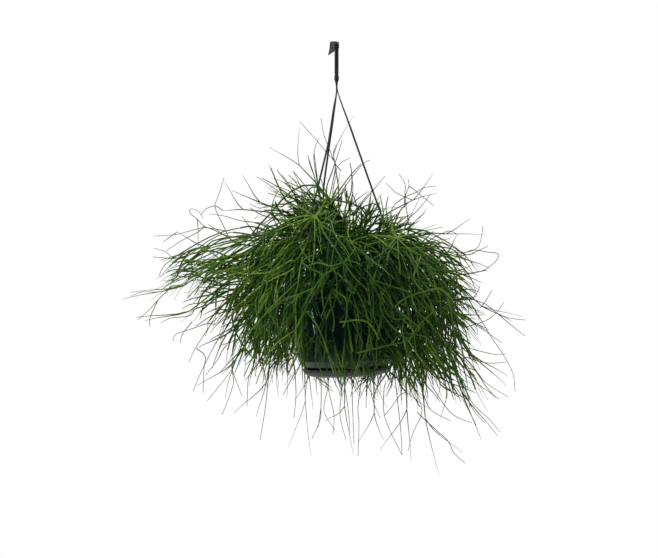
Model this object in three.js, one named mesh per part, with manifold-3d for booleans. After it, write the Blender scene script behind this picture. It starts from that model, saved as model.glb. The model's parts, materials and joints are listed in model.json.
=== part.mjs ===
// A mistletoe cactus in its hanging pot: hook, three strands, pot, drip saucer, soil and thirty sprays of stems.
// Millimetres. Z is up and the front looks along -Y. The origin is the seat of the hook, where it hangs on its bar.
import * as THREE from "three";
import { mergeVertices } from "three/addons/utils/BufferGeometryUtils.js";
import Module from "manifold-3d";

const wasm = await Module();
wasm.setup();

// ---- Driving dimensions ----
const HUB = [3.5, 6, -41]; // foot of the knob, where the strands leave
const HANG = 215; // from the hub down to the middle of the pot's rim
const LEAN = 1.9; // degrees that the pot hangs off plumb

const HOOK_TURN = 20; // degrees from the front to the plane of the hook
const SHANK = { deep: 2.8, wide: 4.2, foot: -36 };
const ARCH = { wide: 5.4, reach: 14.2, thick: 3.4, low: -4 };
const LIP = { far: 26, near: 12, point: -14.6, corner: -10.3 }; // it ends in a point on its left
const KNOB = { radius: 2.6, top: -33.8, hole: 1.75, holeDeep: 3 };

const RIM = 75; // outer radius of the pot's rim
const WALL = 1.6;
const LATHE_SIDES = 32;
const STRAND_CIRCLE = 71; // radius at which the strands pass through the rim
const STRAND_HOLE = 1.7;
const DRAIN = { holes: 4, circle: 22, radius: 4 };

const SOIL_Z = -12; // below the rim
const ROOT_DEEP = 14; // how far a spray stands in the soil
const ROOT_HOLE = 4.5;
const FOOT_Z = -119.2; // underside of the saucer

const radians = (degrees) => (degrees * Math.PI) / 180;
const FULL_TURN = 6.2832;

// ---- Solids ----
// A closed three.js geometry as a manifold solid.
function solidOf(geometry) {
  const bare = new THREE.BufferGeometry();
  const flat = geometry.index ? geometry.toNonIndexed() : geometry;
  bare.setAttribute("position", flat.getAttribute("position"));
  const merged = mergeVertices(bare, 1e-4);
  const corner = merged.index.array;
  const faces = [];
  for (let i = 0; i < corner.length; i += 3) {
    const [a, b, c] = [corner[i], corner[i + 1], corner[i + 2]];
    if (a !== b && b !== c && c !== a) faces.push(a, b, c);
  }
  return new wasm.Manifold(
    new wasm.Mesh({
      numProp: 3,
      vertProperties: merged.attributes.position.array,
      triVerts: new Uint32Array(faces),
    }),
  );
}

const finish = (color, roughness) => new THREE.MeshStandardMaterial({ color, roughness, metalness: 0 });
const FINISHES = {
  hanger: finish(0x24282a, 0.55),
  pot: finish(0x262d33, 0.35),
  saucer: finish(0x3b3f40, 0.5),
  soil: finish(0x33261b, 0.95),
  stems: finish(0x3f6b1e, 0.45),
};

function meshOf(solid, name, material) {
  const made = solid.getMesh();
  const geometry = new THREE.BufferGeometry();
  geometry.setAttribute("position", new THREE.BufferAttribute(made.vertProperties.slice(), 3));
  geometry.setIndex(new THREE.BufferAttribute(made.triVerts.slice(), 1));
  const mesh = new THREE.Mesh(geometry, material);
  mesh.name = name;
  return mesh;
}

// A profile of [radius, height], listed anticlockwise or clockwise, turned round the Z axis.
function turned(profile, sides, x = 0, y = 0) {
  const outline = profile.map(([r, z]) => new THREE.Vector2(r, z));
  if (THREE.ShapeUtils.isClockWise(outline)) outline.reverse();
  const points = [...outline, outline[0]];
  return solidOf(new THREE.LatheGeometry(points, sides).rotateX(Math.PI / 2).translate(x, y, 0));
}

function pin(radius, low, high, x, y, sides) {
  const geometry = new THREE.CylinderGeometry(radius, radius, high - low, sides);
  return solidOf(geometry.rotateX(Math.PI / 2).translate(x, y, (low + high) / 2));
}

// A tube of straight stretches with a radius at each point: a cylinder whose rings are moved to the points.
function tube(points, radii, sides) {
  const last = points.length - 1;
  const geometry = new THREE.CylinderGeometry(1, 1, last, sides, last);
  const at = points.map((p) => new THREE.Vector3(...p));
  const rings = [];
  let side = new THREE.Vector3(0.8, 0.6, 0);
  for (let i = 0; i <= last; i += 1) {
    const ahead = at[Math.min(i + 1, last)].clone().sub(at[Math.max(i - 1, 0)]).normalize();
    side = side.clone().addScaledVector(ahead, -side.dot(ahead)).normalize();
    rings.push(new THREE.Matrix4().makeBasis(side, ahead, side.clone().cross(ahead)).setPosition(at[i]));
  }
  const vertex = geometry.getAttribute("position");
  const moved = new THREE.Vector3();
  for (let v = 0; v < vertex.count; v += 1) {
    const i = Math.round(vertex.getY(v) + last / 2);
    moved.set(vertex.getX(v) * radii[i], 0, vertex.getZ(v) * radii[i]).applyMatrix4(rings[i]);
    vertex.setXYZ(v, moved.x, moved.y, moved.z);
  }
  return solidOf(geometry);
}

// ---- Hook: a flat moulded arch on a shank, with a knob that takes the strands ----
const HOOK_ACROSS = new THREE.Vector3(-Math.sin(radians(HOOK_TURN)), -Math.cos(radians(HOOK_TURN)), 0);
const HOOK_UP = new THREE.Vector3(0, 0, 1);
const HOOK_THROUGH = HOOK_ACROSS.clone().cross(HOOK_UP);

function extruded(outline, depth, frame, from) {
  const shape = new THREE.Shape(outline.map(([x, y]) => new THREE.Vector2(x, y)));
  frame.setPosition(HUB[0] + from.x, HUB[1] + from.y, 0);
  return solidOf(new THREE.ExtrudeGeometry(shape, { depth, bevelEnabled: false }).applyMatrix4(frame));
}

// An outline in the hook's own plane (across from the shank towards the lip, up), given a width.
function flat(outline, wide) {
  const frame = new THREE.Matrix4().makeBasis(HOOK_ACROSS, HOOK_UP, HOOK_THROUGH);
  return extruded(outline, wide, frame, HOOK_THROUGH.clone().multiplyScalar(-wide / 2));
}

// What comes off the lip to leave its point: a wedge below a slanting line through the hook's width.
function lipCut() {
  const slope = (LIP.point - LIP.corner) / ARCH.wide;
  const half = ARCH.wide / 2 + 1;
  const [low, high] = [LIP.point + slope, LIP.corner - slope];
  const frame = new THREE.Matrix4().makeBasis(HOOK_THROUGH, HOOK_UP, HOOK_ACROSS.clone().negate());
  const wedge = [[-half, high], [-half, low - 5], [half, low - 5], [half, low]];
  return extruded(wedge, LIP.far - LIP.near, frame, HOOK_ACROSS.clone().multiplyScalar(LIP.far));
}

function hook() {
  const half = SHANK.deep / 2;
  const outer = ARCH.reach + half;
  const inner = ARCH.reach - half;
  const arch = flat(
    [
      [-half, ARCH.low],
      [-half, 1.4],
      [0.2, ARCH.thick],
      [inner - 1, 2.4],
      [outer - 0.8, 1],
      [outer, -0.8],
      [outer + 1.4, -7.5], // the lip leans out from here
      [outer + 6, LIP.point],
      [outer + 5.2, LIP.point - 0.3],
      [inner + 1.3, -8.3],
      [inner, -3.2],
      [inner - 2.4, 0], // the seat is the flat from here
      [half + 2.8, 0], // to here, at the origin's height
      [half, -2.6],
      [half, ARCH.low],
    ],
    ARCH.wide,
  );
  const shank = flat([[-half, SHANK.foot], [half, SHANK.foot], [half, -1], [-half, -1]], SHANK.wide);
  const { radius, top, hole, holeDeep } = KNOB;
  const knob = turned(
    [[0, top], [0, HUB[2] + holeDeep], [hole, HUB[2] + holeDeep], [hole, HUB[2]]]
      .concat([[radius - 0.4, HUB[2]], [radius, HUB[2] + 1.4], [radius, top - 1.4], [radius - 0.6, top]]),
    12,
    HUB[0],
    HUB[1],
  );
  return arch.subtract(lipCut()).add(shank).add(knob);
}

// ---- Strands: thin legs from the knob, down through the rim, each with a barb below it ----
const STRANDS = {
  strand_right: { azimuth: -14, bend: [45.4, -12.4, 60.8] },
  strand_back: { azimuth: 106, bend: [-19.1, 38, 94.3] },
  strand_left: { azimuth: 226, bend: [-12.2, -16.8, 141.2] },
};
const STRAND_RADIUS = 1.1;
const STRAND_NECK = { radius: 0.6, circle: 0.85, top: 217.4, low: 203 };

function strandPath({ azimuth, bend }) {
  const [x, y] = [Math.cos(radians(azimuth)), Math.sin(radians(azimuth))];
  const out = (r, z) => [r * x, r * y, z];
  const { circle, top, low } = STRAND_NECK;
  const neck = out(circle, low);
  const full = neck.map((c, i) => c + (bend[i] - c) * 0.3);
  return [out(circle, top), neck, full, bend, out(STRAND_CIRCLE, 4), out(STRAND_CIRCLE, -1.95)];
}

function strand(kind) {
  const path = strandPath(kind);
  const foot = path[path.length - 1];
  const [thin, thick] = [STRAND_NECK.radius, STRAND_RADIUS];
  const barb = [foot, [foot[0], foot[1], -5.2]];
  return tube([...path, ...barb], [thin, thin, thick, thick, thick, thick, 2.2, 0.8], 6);
}

// ---- Pot, saucer and soil, all below the middle of the rim ----
function pot() {
  const body = turned(
    [
      [66, 0], // mouth
      [RIM, 0],
      [RIM, -8],
      [73.5, -8], // turned-down lip
      [73.5, -WALL],
      [67.6, -WALL],
      [55.7, -93], // outside of the wall
      [53.9, -101],
      [49.8, -107.4],
      [47.5, -109],
      [38, -109],
      [38, -116], // collar that the saucer clips round
      [36.4, -116],
      [36.4, -109],
      [0, -109],
      [0, -107.4],
      [46.9, -107.4], // floor
      [48.8, -106.1],
      [52.3, -100.4],
      [54.1, -92.8],
    ],
    LATHE_SIDES,
  );
  const cuts = [];
  for (const { azimuth } of Object.values(STRANDS)) {
    const turn = radians(azimuth);
    cuts.push(pin(STRAND_HOLE, -3, 1, STRAND_CIRCLE * Math.cos(turn), STRAND_CIRCLE * Math.sin(turn), 8));
  }
  for (let i = 0; i < DRAIN.holes; i += 1) {
    const turn = radians(45 + (360 * i) / DRAIN.holes);
    cuts.push(pin(DRAIN.radius, -112, -104, DRAIN.circle * Math.cos(turn), DRAIN.circle * Math.sin(turn), 8));
  }
  return body.subtract(wasm.Manifold.union(cuts));
}

function saucer() {
  return turned(
    [
      [47.8, -110.5],
      [49.3, -110.5],
      [48.6, -113.6],
      [45.4, -117.2],
      [39.4, FOOT_Z],
      [0, FOOT_Z],
      [0, -117.7],
      [38.3, -117.7],
      [38.3, -113.5], // ring that holds the pot's collar
      [39.8, -113.5],
      [39.8, -117.4],
      [44.4, -116],
      [47.1, -113.1],
    ],
    LATHE_SIDES,
  );
}

function soil(roots) {
  const body = turned(
    [
      [0, SOIL_Z],
      [0, -107],
      [46.6, -107],
      [48.5, -105.7],
      [51.9, -100.2],
      [53.7, -92.7],
      [64.1, SOIL_Z],
    ],
    LATHE_SIDES,
  );
  const low = SOIL_Z - ROOT_DEEP - 0.4;
  return body.subtract(wasm.Manifold.union(roots.map(([x, y]) => pin(ROOT_HOLE, low, SOIL_Z + 1, x, y, 6))));
}

// ---- The plant ----
// Each spray stands in its own hole in the soil. Its long stems rise, arch over and end in forks, and the tips reach
// the edge of a crown whose size changes with the direction looked in.
const CROWN_Z = 2;
const CROWN = [[-90, 120], [-60, 140], [-36, 154], [-15, 152], [0, 140], [20, 112], [45, 90], [90, 82]];
const LOBES = [
  { azimuth: 182, wide: 34, elevation: 2, tall: 15, more: 44 }, // reaches out to the left
  { azimuth: -8, wide: 40, elevation: -44, tall: 18, more: 40 }, // trails down to the right
  { azimuth: -92, wide: 34, elevation: -60, tall: 34, more: -30 }, // short in front of the pot
  { azimuth: 20, wide: 60, elevation: 60, tall: 22, more: -14 }, // lower at the top right
];
const RINGS = [
  { radius: 15, sprays: 5, start: 20, elevations: [74, 46], fan: 62 },
  { radius: 35, sprays: 10, start: 4, elevations: [38, 2], fan: 30 },
  { radius: 54, sprays: 15, start: 0, elevations: [-15, -50], fan: 16 },
];
const ELEVATION_SPREAD = 16;
// Long stems that stand out of the crown: number of the spray, azimuth, elevation and reach.
const STRAYS = [
  [1, 120, 84, 172],
  [0, 176, 70, 168],
  [2, 184, 42, 158],
  [7, 178, 34, 176],
  [7, 176, 10, 214],
  [8, 188, -6, 240],
  [22, 184, -15, 236],
  [23, 196, -38, 216],
  [24, 208, -50, 212],
  [25, 231, -63, 212],
  [27, 262, -80, 198],
  [28, 284, -84, 208],
  [29, 312, -71, 218],
  [0, -16, 42, 146],
  [5, 4, 17, 166],
  [14, 8, 5, 176],
  [15, -4, -16, 214],
  [16, 4, -34, 236],
  [15, -14, -46, 252],
  [29, -34, -58, 256],
  [18, 62, -12, 178],
  [19, 96, -30, 182],
  [20, 118, -58, 196],
  [10, 134, 12, 160],
  [1, 78, 44, 138],
  [26, -112, -18, 168],
  [28, -58, 8, 160],
];
// The stems of a spray stand together in its hole, each turned so far round from the next.
const CROWN_STEMS = [
  { turn: 0, tips: 3, forks: 2, side: true, radius: 1.3 },
  { turn: 120, tips: 3, forks: 2, side: false, radius: 1.3 },
];
const STRAY_STEM = { turn: 240, tips: 2, forks: 1, side: false, radius: 1.1 };
const STRAY_SHARE = 0.76; // of its reach, the part that a stray covers before it forks
const FORKS = [
  { length: [40, 64], radius: 1.2 },
  { length: [28, 50], radius: 1.1 },
];
const SIDE_AT = 3; // point of a long stem that a side branchlet leaves from
const ARCH_STEPS = 4; // straight stretches in the arch of a long stem
const OVER_RIM = 5; // a stem that ends lower than this hangs beside the pot
const OFF_WALL = 84; // and ends no nearer the pot's axis than this
const FREE_OF_WALL = 114; // from here out the pot doesn't shape it
const PLUMB = 87; // degrees down of a stem that hangs by the wall
const FALL = [14, 26]; // degrees that a free stem points below its place in the crown
const CLIMB = 32; // added to the rise of a stem that must clear the rim
const DROP = 24; // and to its fall
const STEM_STEP = 1.1; // from the middle of the hole to each stem in it
const MOUTH_STEP = 1.5; // how far a stem moves out between its foot and the rim's height
const NECK = { radius: 0.45, length: 6 }; // a branchlet starts this thin inside the stem that it grows from
const FORK_SPREAD = [12, 40];
const FORK_LENGTHS = [52, 94]; // how far one fork reaches, and how far both do
const DROOP = 6;
const APART = 0.55; // clear space left between stems
const SLIVER = 0.08; // facets finer than this at the forks are merged
const STEM_FATTER = 1.2; // corner radius of a three-sided stem against the round stem it stands for

// A repeatable stream of numbers: each call gives the next one between low and high.
function drawFrom(seed) {
  let state = (seed * 7919 + 104729) % 2147483647;
  const draw = (low, high) => {
    state = (state * 16807) % 2147483647;
    return low + (high - low) * (state / 2147483647);
  };
  for (let i = 0; i < 4; i += 1) draw(0, 1);
  return draw;
}

const unit = (v) => {
  const size = Math.sqrt(v[0] ** 2 + v[1] ** 2 + v[2] ** 2);
  return v.map((c) => c / size);
};

const aim = (azimuth, elevation) => {
  const [a, e] = [radians(azimuth), radians(elevation)];
  return [Math.cos(a) * Math.cos(e), Math.sin(a) * Math.cos(e), Math.sin(e)];
};

const along = (start, direction, far) => start.map((c, i) => c + direction[i] * far);

// direction turned away from itself by angle, towards roll round it (both in radians).
function tilted(direction, angle, roll) {
  const [x, y, z] = direction;
  const level = Math.hypot(x, y);
  const u = level < 1e-6 ? [1, 0, 0] : [-y / level, x / level, 0];
  const v = [y * u[2] - z * u[1], z * u[0] - x * u[2], x * u[1] - y * u[0]];
  const [a, b] = [Math.cos(roll) * Math.sin(angle), Math.sin(roll) * Math.sin(angle)];
  return unit(direction.map((c, i) => c * Math.cos(angle) + u[i] * a + v[i] * b));
}

// direction after its own weight has turned it down, most where it lies level.
function drooped(direction) {
  const level = Math.hypot(direction[0], direction[1]);
  const elevation = (Math.atan2(direction[2], level) * 180) / Math.PI - DROOP * (0.3 + 0.7 * level);
  const azimuth = (Math.atan2(direction[1], direction[0]) * 180) / Math.PI;
  return aim(azimuth, Math.max(elevation, -86));
}

function bump(angle, middle, wide) {
  const off = ((((angle - middle + 180) % 360) + 360) % 360) - 180;
  return Math.exp(-((off / wide) ** 2));
}

function between(x, table) {
  if (x <= table[0][0]) return table[0][1];
  for (let i = 1; i < table.length; i += 1) {
    const [[x0, y0], [x1, y1]] = [table[i - 1], table[i]];
    if (x <= x1) return y0 + ((y1 - y0) * (x - x0)) / (x1 - x0);
  }
  return table[table.length - 1][1];
}

function crownReach(azimuth, elevation) {
  let far = between(elevation, CROWN);
  for (const lobe of LOBES) {
    far += lobe.more * bump(azimuth, lobe.azimuth, lobe.wide) * bump(elevation, lobe.elevation, lobe.tall);
  }
  return far;
}

const crownPoint = (azimuth, elevation, far) => along([0, 0, CROWN_Z], aim(azimuth, elevation), far);

// Radius of the room that the pot and saucer take at a height.
function potRoom(z) {
  if (z > 5) return 0;
  if (z > -12) return RIM + 2.2;
  if (z > -108) return 69 - (12 * (-z - 2)) / 93;
  return z > FOOT_Z - 4 ? 54 : 0;
}

function missesPot(a, b) {
  for (let step = 1; step <= 8; step += 1) {
    const [x, y, z] = a.map((c, i) => c + ((b[i] - c) * step) / 8);
    const out = Math.hypot(x, y);
    const inMouth = out < 60 && z > SOIL_Z - 25;
    if (out < potRoom(z) && !inMouth) return false;
    if (z < FOOT_Z - 4 && out < 44) return false;
  }
  return true;
}

const dot = (p, q) => p[0] * q[0] + p[1] * q[1] + p[2] * q[2];
const minus = (p, q) => [p[0] - q[0], p[1] - q[1], p[2] - q[2]];
const clamped = (x, low, high) => Math.min(Math.max(x, low), high);

// Shortest distance between two straight stretches.
function stretchDistance(p1, q1, p2, q2) {
  const [d1, d2, r] = [minus(q1, p1), minus(q2, p2), minus(p1, p2)];
  const [a, e, f, c, b] = [dot(d1, d1), dot(d2, d2), dot(d2, r), dot(d1, r), dot(d1, d2)];
  const den = a * e - b * b;
  let s = den > 1e-9 ? clamped((b * f - c * e) / den, 0, 1) : 0;
  let t = (b * s + f) / e;
  if (t < 0) s = clamped(-c / a, 0, 1);
  else if (t > 1) s = clamped((b - c) / a, 0, 1);
  t = clamped(t, 0, 1);
  const w = [0, 1, 2].map((i) => r[i] + d1[i] * s - d2[i] * t);
  return Math.sqrt(dot(w, w));
}

// Everything laid so far, as stretches with a radius.
const laid = [];

function lay(points, radius) {
  const made = [];
  for (let i = 1; i < points.length; i += 1) {
    made.push(laid.length);
    laid.push({ a: points[i - 1], b: points[i], radius });
  }
  return made;
}

function isClear(a, b, radius, neighbours) {
  return laid.every(
    (other, i) =>
      stretchDistance(a, b, other.a, other.b) >= radius + other.radius + APART || neighbours.includes(i),
  );
}

// A long stem: out of its hole, up, over and on towards its place in the crown. One that comes down close to the
// pot's wall (near is 1) climbs higher first and then hangs nearly plumb.
function mainPath(root, turn, azimuth, elevation, far, share, draw) {
  let end = crownPoint(azimuth, elevation, far * share);
  let out = Math.hypot(end[0], end[1]);
  let near = 0;
  if (end[2] < OVER_RIM) {
    if (out < OFF_WALL) {
      const push = (OFF_WALL + draw(0, 6)) / out;
      end = [end[0] * push, end[1] * push, end[2]];
      out *= push;
    }
    near = clamped((FREE_OF_WALL - out) / 24, 0, 1);
  }
  const falling = (elevation - draw(...FALL)) * (1 - near) - PLUMB * near;
  const last = aim(azimuth + draw(-12, 12), falling);
  const foot = [root[0] + STEM_STEP * Math.cos(turn), root[1] + STEM_STEP * Math.sin(turn), root[2]];
  const outward = radians(azimuth);
  const mouth = [foot[0] + MOUTH_STEP * Math.cos(outward), foot[1] + MOUTH_STEP * Math.sin(outward), 0];
  const span = Math.sqrt(dot(minus(end, mouth), minus(end, mouth)));
  const rise = along(mouth, aim(azimuth, 80 - 12 * near), span * draw(0.45, 0.6) + CLIMB * near);
  const fall = along(end, last, -(span * draw(0.32, 0.42) + DROP * near));
  const arch = new THREE.CubicBezierCurve3(...[mouth, rise, fall, end].map((p) => new THREE.Vector3(...p)));
  return [foot, ...arch.getPoints(ARCH_STEPS).map((p) => p.toArray())];
}

const pairs = (points) => points.slice(1).map((b, i) => [points[i], b]);

// One branchlet, tried again turned a little further each time until it is clear of the rest.
function branchlet(start, direction, length, radius, draw, neighbours) {
  for (let attempt = 0; attempt < 8; attempt += 1) {
    const turnedBy = radians(11 * attempt);
    const way = drooped(attempt ? tilted(direction, turnedBy, draw(0, FULL_TURN)) : direction);
    const end = along(start, way, length);
    if (missesPot(start, end) && isClear(start, end, radius, neighbours)) return { end, way };
  }
  return null;
}

// Branchlets from the end of a stem. The first carries the stem itself on, and each ends in a fork of its own
// until the forks run out.
function fork(stems, parent, start, direction, level, count, { forks, scale, draw }, neighbours) {
  if (level === forks) return;
  const { length, radius } = FORKS[level];
  const first = draw(0, FULL_TURN);
  const mine = [];
  let carried = parent;
  for (let i = 0; i < count; i += 1) {
    const spread = radians(draw(...FORK_SPREAD));
    const roll = first + (FULL_TURN * i) / count + draw(-0.5, 0.5);
    const long = draw(...length) * scale;
    const made = branchlet(start, tilted(direction, spread, roll), long, radius, draw, [...neighbours, ...mine]);
    if (!made) continue;
    const own = lay([start, made.end], radius);
    mine.push(...own);
    const neck = [start, along(start, made.way, NECK.length)];
    const stem = carried || { points: neck, radii: [NECK.radius, radius] };
    stem.points.push(made.end);
    stem.radii.push(radius);
    if (!carried) stems.push(stem);
    carried = null;
    fork(stems, stem, made.end, made.way, level + 1, 2, { forks, scale, draw }, own);
  }
}

// A long stem that ends in a fork of so many tips and, where it has a side, one branchlet further back.
function growStem(spray, { turn, tips, forks, side, radius }, target, draw) {
  for (let attempt = 0; attempt < 24; attempt += 1) {
    const { azimuth, elevation, far, share } = target(draw);
    const points = mainPath(spray.root, radians(turn), azimuth, elevation, far, share, draw);
    const misses = pairs(points.slice(1)).every(([a, b]) => missesPot(a, b));
    if (!misses || !pairs(points).every(([a, b]) => isClear(a, b, radius, spray.feet))) continue;
    const own = lay(points, radius);
    spray.feet.push(own[0], own[1]);
    const stem = { points: [...points], radii: points.map(() => radius) };
    spray.stems.push(stem);
    const tip = points[points.length - 1];
    const onward = unit(minus(crownPoint(azimuth, elevation, far), tip));
    const scale = clamped((far * (1 - share)) / FORK_LENGTHS[forks - 1], 0.6, 1.35);
    const how = { forks, scale, draw };
    fork(spray.stems, stem, tip, onward, 0, tips, how, own.slice(-1));
    if (side) {
      const back = unit(minus(points[SIDE_AT], points[SIDE_AT - 1]));
      fork(spray.stems, null, points[SIDE_AT], back, 0, 1, how, own.slice(SIDE_AT - 1, SIDE_AT + 1));
    }
    return;
  }
}

function growPlant() {
  const sprays = [];
  for (const ring of RINGS) {
    for (let i = 0; i < ring.sprays; i += 1) {
      const azimuth = ring.start + (360 * i) / ring.sprays;
      const [x, y] = [Math.cos(radians(azimuth)), Math.sin(radians(azimuth))];
      const root = [ring.radius * x, ring.radius * y, SOIL_Z - ROOT_DEEP];
      sprays.push({ ring, azimuth, root, feet: [], stems: [] });
    }
  }
  for (const kind of Object.values(STRANDS)) lay(strandPath(kind), STRAND_RADIUS + 0.6);
  STRAYS.forEach(([number, azimuth, elevation, far], i) => {
    const target = (draw) => ({
      azimuth: azimuth + draw(-7, 7),
      elevation: elevation + draw(-2, 2),
      far,
      share: STRAY_SHARE,
    });
    growStem(sprays[number], STRAY_STEM, target, drawFrom(500 + i));
  });
  CROWN_STEMS.forEach((kind, m) => {
    sprays.forEach((spray, i) => {
      const { fan, elevations } = spray.ring;
      const target = (draw) => {
        const azimuth = spray.azimuth + fan * draw(-1, 1);
        const elevation = elevations[m] + ELEVATION_SPREAD * draw(-1, 1);
        return { azimuth, elevation, far: crownReach(azimuth, elevation), share: draw(0.44, 0.6) };
      };
      growStem(spray, kind, target, drawFrom(1000 * (i + 1) + m));
    });
  });
  return sprays;
}

// The stems of a spray as one body. A hollow that they seal between them is filled.
function spraySolid({ stems }) {
  const tubes = stems.map(({ points, radii }) => tube(points, radii.map((r) => r * STEM_FATTER), 3));
  const fused = wasm.Manifold.union(tubes).asOriginal().simplify(SLIVER);
  return wasm.Manifold.union(fused.decompose().filter((body) => body.volume() > 0));
}

// ---- The whole object ----
const sprays = growPlant();
const hung = new THREE.Group();
hung.position.set(...HUB);
hung.rotation.y = -radians(LEAN);
const below = new THREE.Group();
below.position.z = -HANG;
hung.add(below);
for (const [name, kind] of Object.entries(STRANDS)) below.add(meshOf(strand(kind), name, FINISHES.hanger));
below.add(meshOf(pot(), "pot", FINISHES.pot));
below.add(meshOf(saucer(), "saucer", FINISHES.saucer));
below.add(meshOf(soil(sprays.map(({ root }) => root)), "soil", FINISHES.soil));
sprays.forEach((spray, i) => {
  below.add(meshOf(spraySolid(spray), `spray_${String(i + 1).padStart(2, "0")}`, FINISHES.stems));
});

const group = new THREE.Group();
group.add(meshOf(hook(), "hook", FINISHES.hanger));
group.add(hung);

export default group;
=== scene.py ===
"""Looks for a mistletoe cactus in its hanging pot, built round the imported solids. The front looks along -Y.

The plant and pot are worked out in millimetres from the middle of the pot's rim, plumb. placed() takes them
to the row frame in metres, hung from the hub and off plumb as the solids are."""

import json
import math

import bmesh
import bpy
import numpy as np
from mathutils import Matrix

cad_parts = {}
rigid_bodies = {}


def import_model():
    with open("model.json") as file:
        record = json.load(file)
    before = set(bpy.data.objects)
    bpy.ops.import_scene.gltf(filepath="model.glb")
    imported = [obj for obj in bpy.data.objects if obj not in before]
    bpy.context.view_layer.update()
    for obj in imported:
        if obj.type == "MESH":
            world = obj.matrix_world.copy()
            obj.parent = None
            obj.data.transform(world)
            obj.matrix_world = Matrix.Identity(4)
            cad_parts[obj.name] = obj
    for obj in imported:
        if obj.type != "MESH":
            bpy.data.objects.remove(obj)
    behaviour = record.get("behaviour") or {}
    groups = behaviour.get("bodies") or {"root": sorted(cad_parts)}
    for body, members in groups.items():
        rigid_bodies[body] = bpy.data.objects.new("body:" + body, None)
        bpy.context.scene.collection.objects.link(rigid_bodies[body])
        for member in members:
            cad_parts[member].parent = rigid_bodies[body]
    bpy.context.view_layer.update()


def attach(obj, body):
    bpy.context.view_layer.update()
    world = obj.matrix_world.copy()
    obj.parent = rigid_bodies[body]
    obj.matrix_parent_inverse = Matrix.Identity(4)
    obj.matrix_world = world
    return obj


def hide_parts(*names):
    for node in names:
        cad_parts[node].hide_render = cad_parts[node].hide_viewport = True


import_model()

# ---- Measures shared with the solids, in millimetres and degrees ----
HUB = (3.5, 6.0, -41.0)
HANG = 215.0
LEAN = math.radians(1.9)
HOOK_TURN = math.radians(20)
RIM = 75.0
SOIL_Z = -12.0
ROOT_DEEP = 14.0
FOOT_Z = -119.2
STRANDS = {  # azimuth, and the place of the soft bend
    "strand_right": (-14, (45.4, -12.4, 60.8)),
    "strand_back": (106, (-19.1, 38.0, 94.3)),
    "strand_left": (226, (-12.2, -16.8, 141.2)),
}
STRAND_CIRCLE = 71.0
STRAND_RADIUS = 1.1
NECK_OUT, NECK_Z, KNOB_Z = 0.85, 203, 217.4  # a strand leaves the knob's neck here
LEG_Z, HOLE_Z = 4, -1.95  # and stands upright from here down through the rim

# ---- Camera ----
EYE = (-5.1, -1590.0, -265.8)
PICTURE_WIDTH = 658
FOCAL = 1405.0  # pixels
MIDDLE = (329.0, 279.0)


def placed(points):
    """Millimetres about the pot's rim, plumb, to metres in the row frame."""
    p = np.asarray(points, float).reshape(-1, 3)
    c, s = math.cos(LEAN), math.sin(LEAN)
    z = p[:, 2] - HANG
    return np.stack([HUB[0] + p[:, 0] * c - z * s, HUB[1] + p[:, 1], HUB[2] + p[:, 0] * s + z * c], 1) / 1000


def seen(points):
    """Where points about the rim show in the picture: x and y in pixels, and their depth in millimetres."""
    row = placed(points) * 1000
    scale = FOCAL / (row[:, 1] - EYE[1])
    return MIDDLE[0] + (row[:, 0] - EYE[0]) * scale, MIDDLE[1] - (row[:, 2] - EYE[2]) * scale, row[:, 1]


def sighted(px, py, depth):
    """The point about the rim that shows at px, py and lies at that depth in the row frame."""
    scale = (depth - EYE[1]) / FOCAL
    x, z = EYE[0] + (px - MIDDLE[0]) * scale - HUB[0], EYE[2] - (py - MIDDLE[1]) * scale - HUB[2]
    c, s = math.cos(LEAN), math.sin(LEAN)
    return (x * c + z * s, depth - HUB[1], -x * s + z * c + HANG)


# ---- The plant: the rule that the solids were grown by, with the same draws ----
CROWN_Z = 2
CROWN = [  # elevation, and how far the crown reaches there
    (-90, 120), (-60, 140), (-36, 154), (-15, 152), (0, 140), (20, 112), (45, 90), (90, 82),
]
LOBES = [  # azimuth, how wide, elevation, how tall, and how much further the crown reaches there
    (182, 34, 2, 15, 44), (-8, 40, -44, 18, 40), (-92, 34, -60, 34, -30), (20, 60, 60, 22, -14),
]
RINGS = [  # radius, sprays, first azimuth, the elevations of their two stems, and how far these fan out
    (15, 5, 20, (74, 46), 62), (35, 10, 4, (38, 2), 30), (54, 15, 0, (-15, -50), 16),
]
ELEVATION_SPREAD = 16
STRAYS = [  # number of the spray, azimuth, elevation and reach
    (1, 120, 84, 172), (0, 176, 70, 168), (2, 184, 42, 158), (7, 178, 34, 176), (7, 176, 10, 214),
    (8, 188, -6, 240), (22, 184, -15, 236), (23, 196, -38, 216), (24, 208, -50, 212), (25, 231, -63, 212),
    (27, 262, -80, 198), (28, 284, -84, 208), (29, 312, -71, 218), (0, -16, 42, 146), (5, 4, 17, 166),
    (14, 8, 5, 176), (15, -4, -16, 214), (16, 4, -34, 236), (15, -14, -46, 252), (29, -34, -58, 256),
    (18, 62, -12, 178), (19, 96, -30, 182), (20, 118, -58, 196), (10, 134, 12, 160), (1, 78, 44, 138),
    (26, -112, -18, 168), (28, -58, 8, 160),
]
# Each kind of main stem: where it stands round the foot, its tips, how often these fork, whether it has a
# side branch, and its radius.
CROWN_STEMS = [(0, 3, 2, True, 1.3), (120, 3, 2, False, 1.3)]
STRAY_STEM = (240, 2, 1, False, 1.1)
STRAY_SHARE, CROWN_SHARE = 0.76, (0.44, 0.6)  # of its reach, where a main stem starts to fork
STRAY_PLAY = (7, 2)  # in azimuth and elevation
FORKS = [((40, 64), 1.2), ((28, 50), 1.1)]  # lengths and radius
SIDE_AT = 3
ARCH_STEPS = 4
OVER_RIM, OFF_WALL, FREE_OF_WALL, PLUMB = 5, 84, 114, 87
WALL_PLAY, WALL_FADE = (0, 6), 24
FALL, END_SWING = (14, 26), (-12, 12)
RISE_STEEP, RISE_EASED = 80, 12
RISE_SHARE, FALL_SHARE = (0.45, 0.6), (0.32, 0.42)
CLIMB, DROP = 32, 24
STEM_STEP, MOUTH_STEP = 1.1, 1.5
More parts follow.
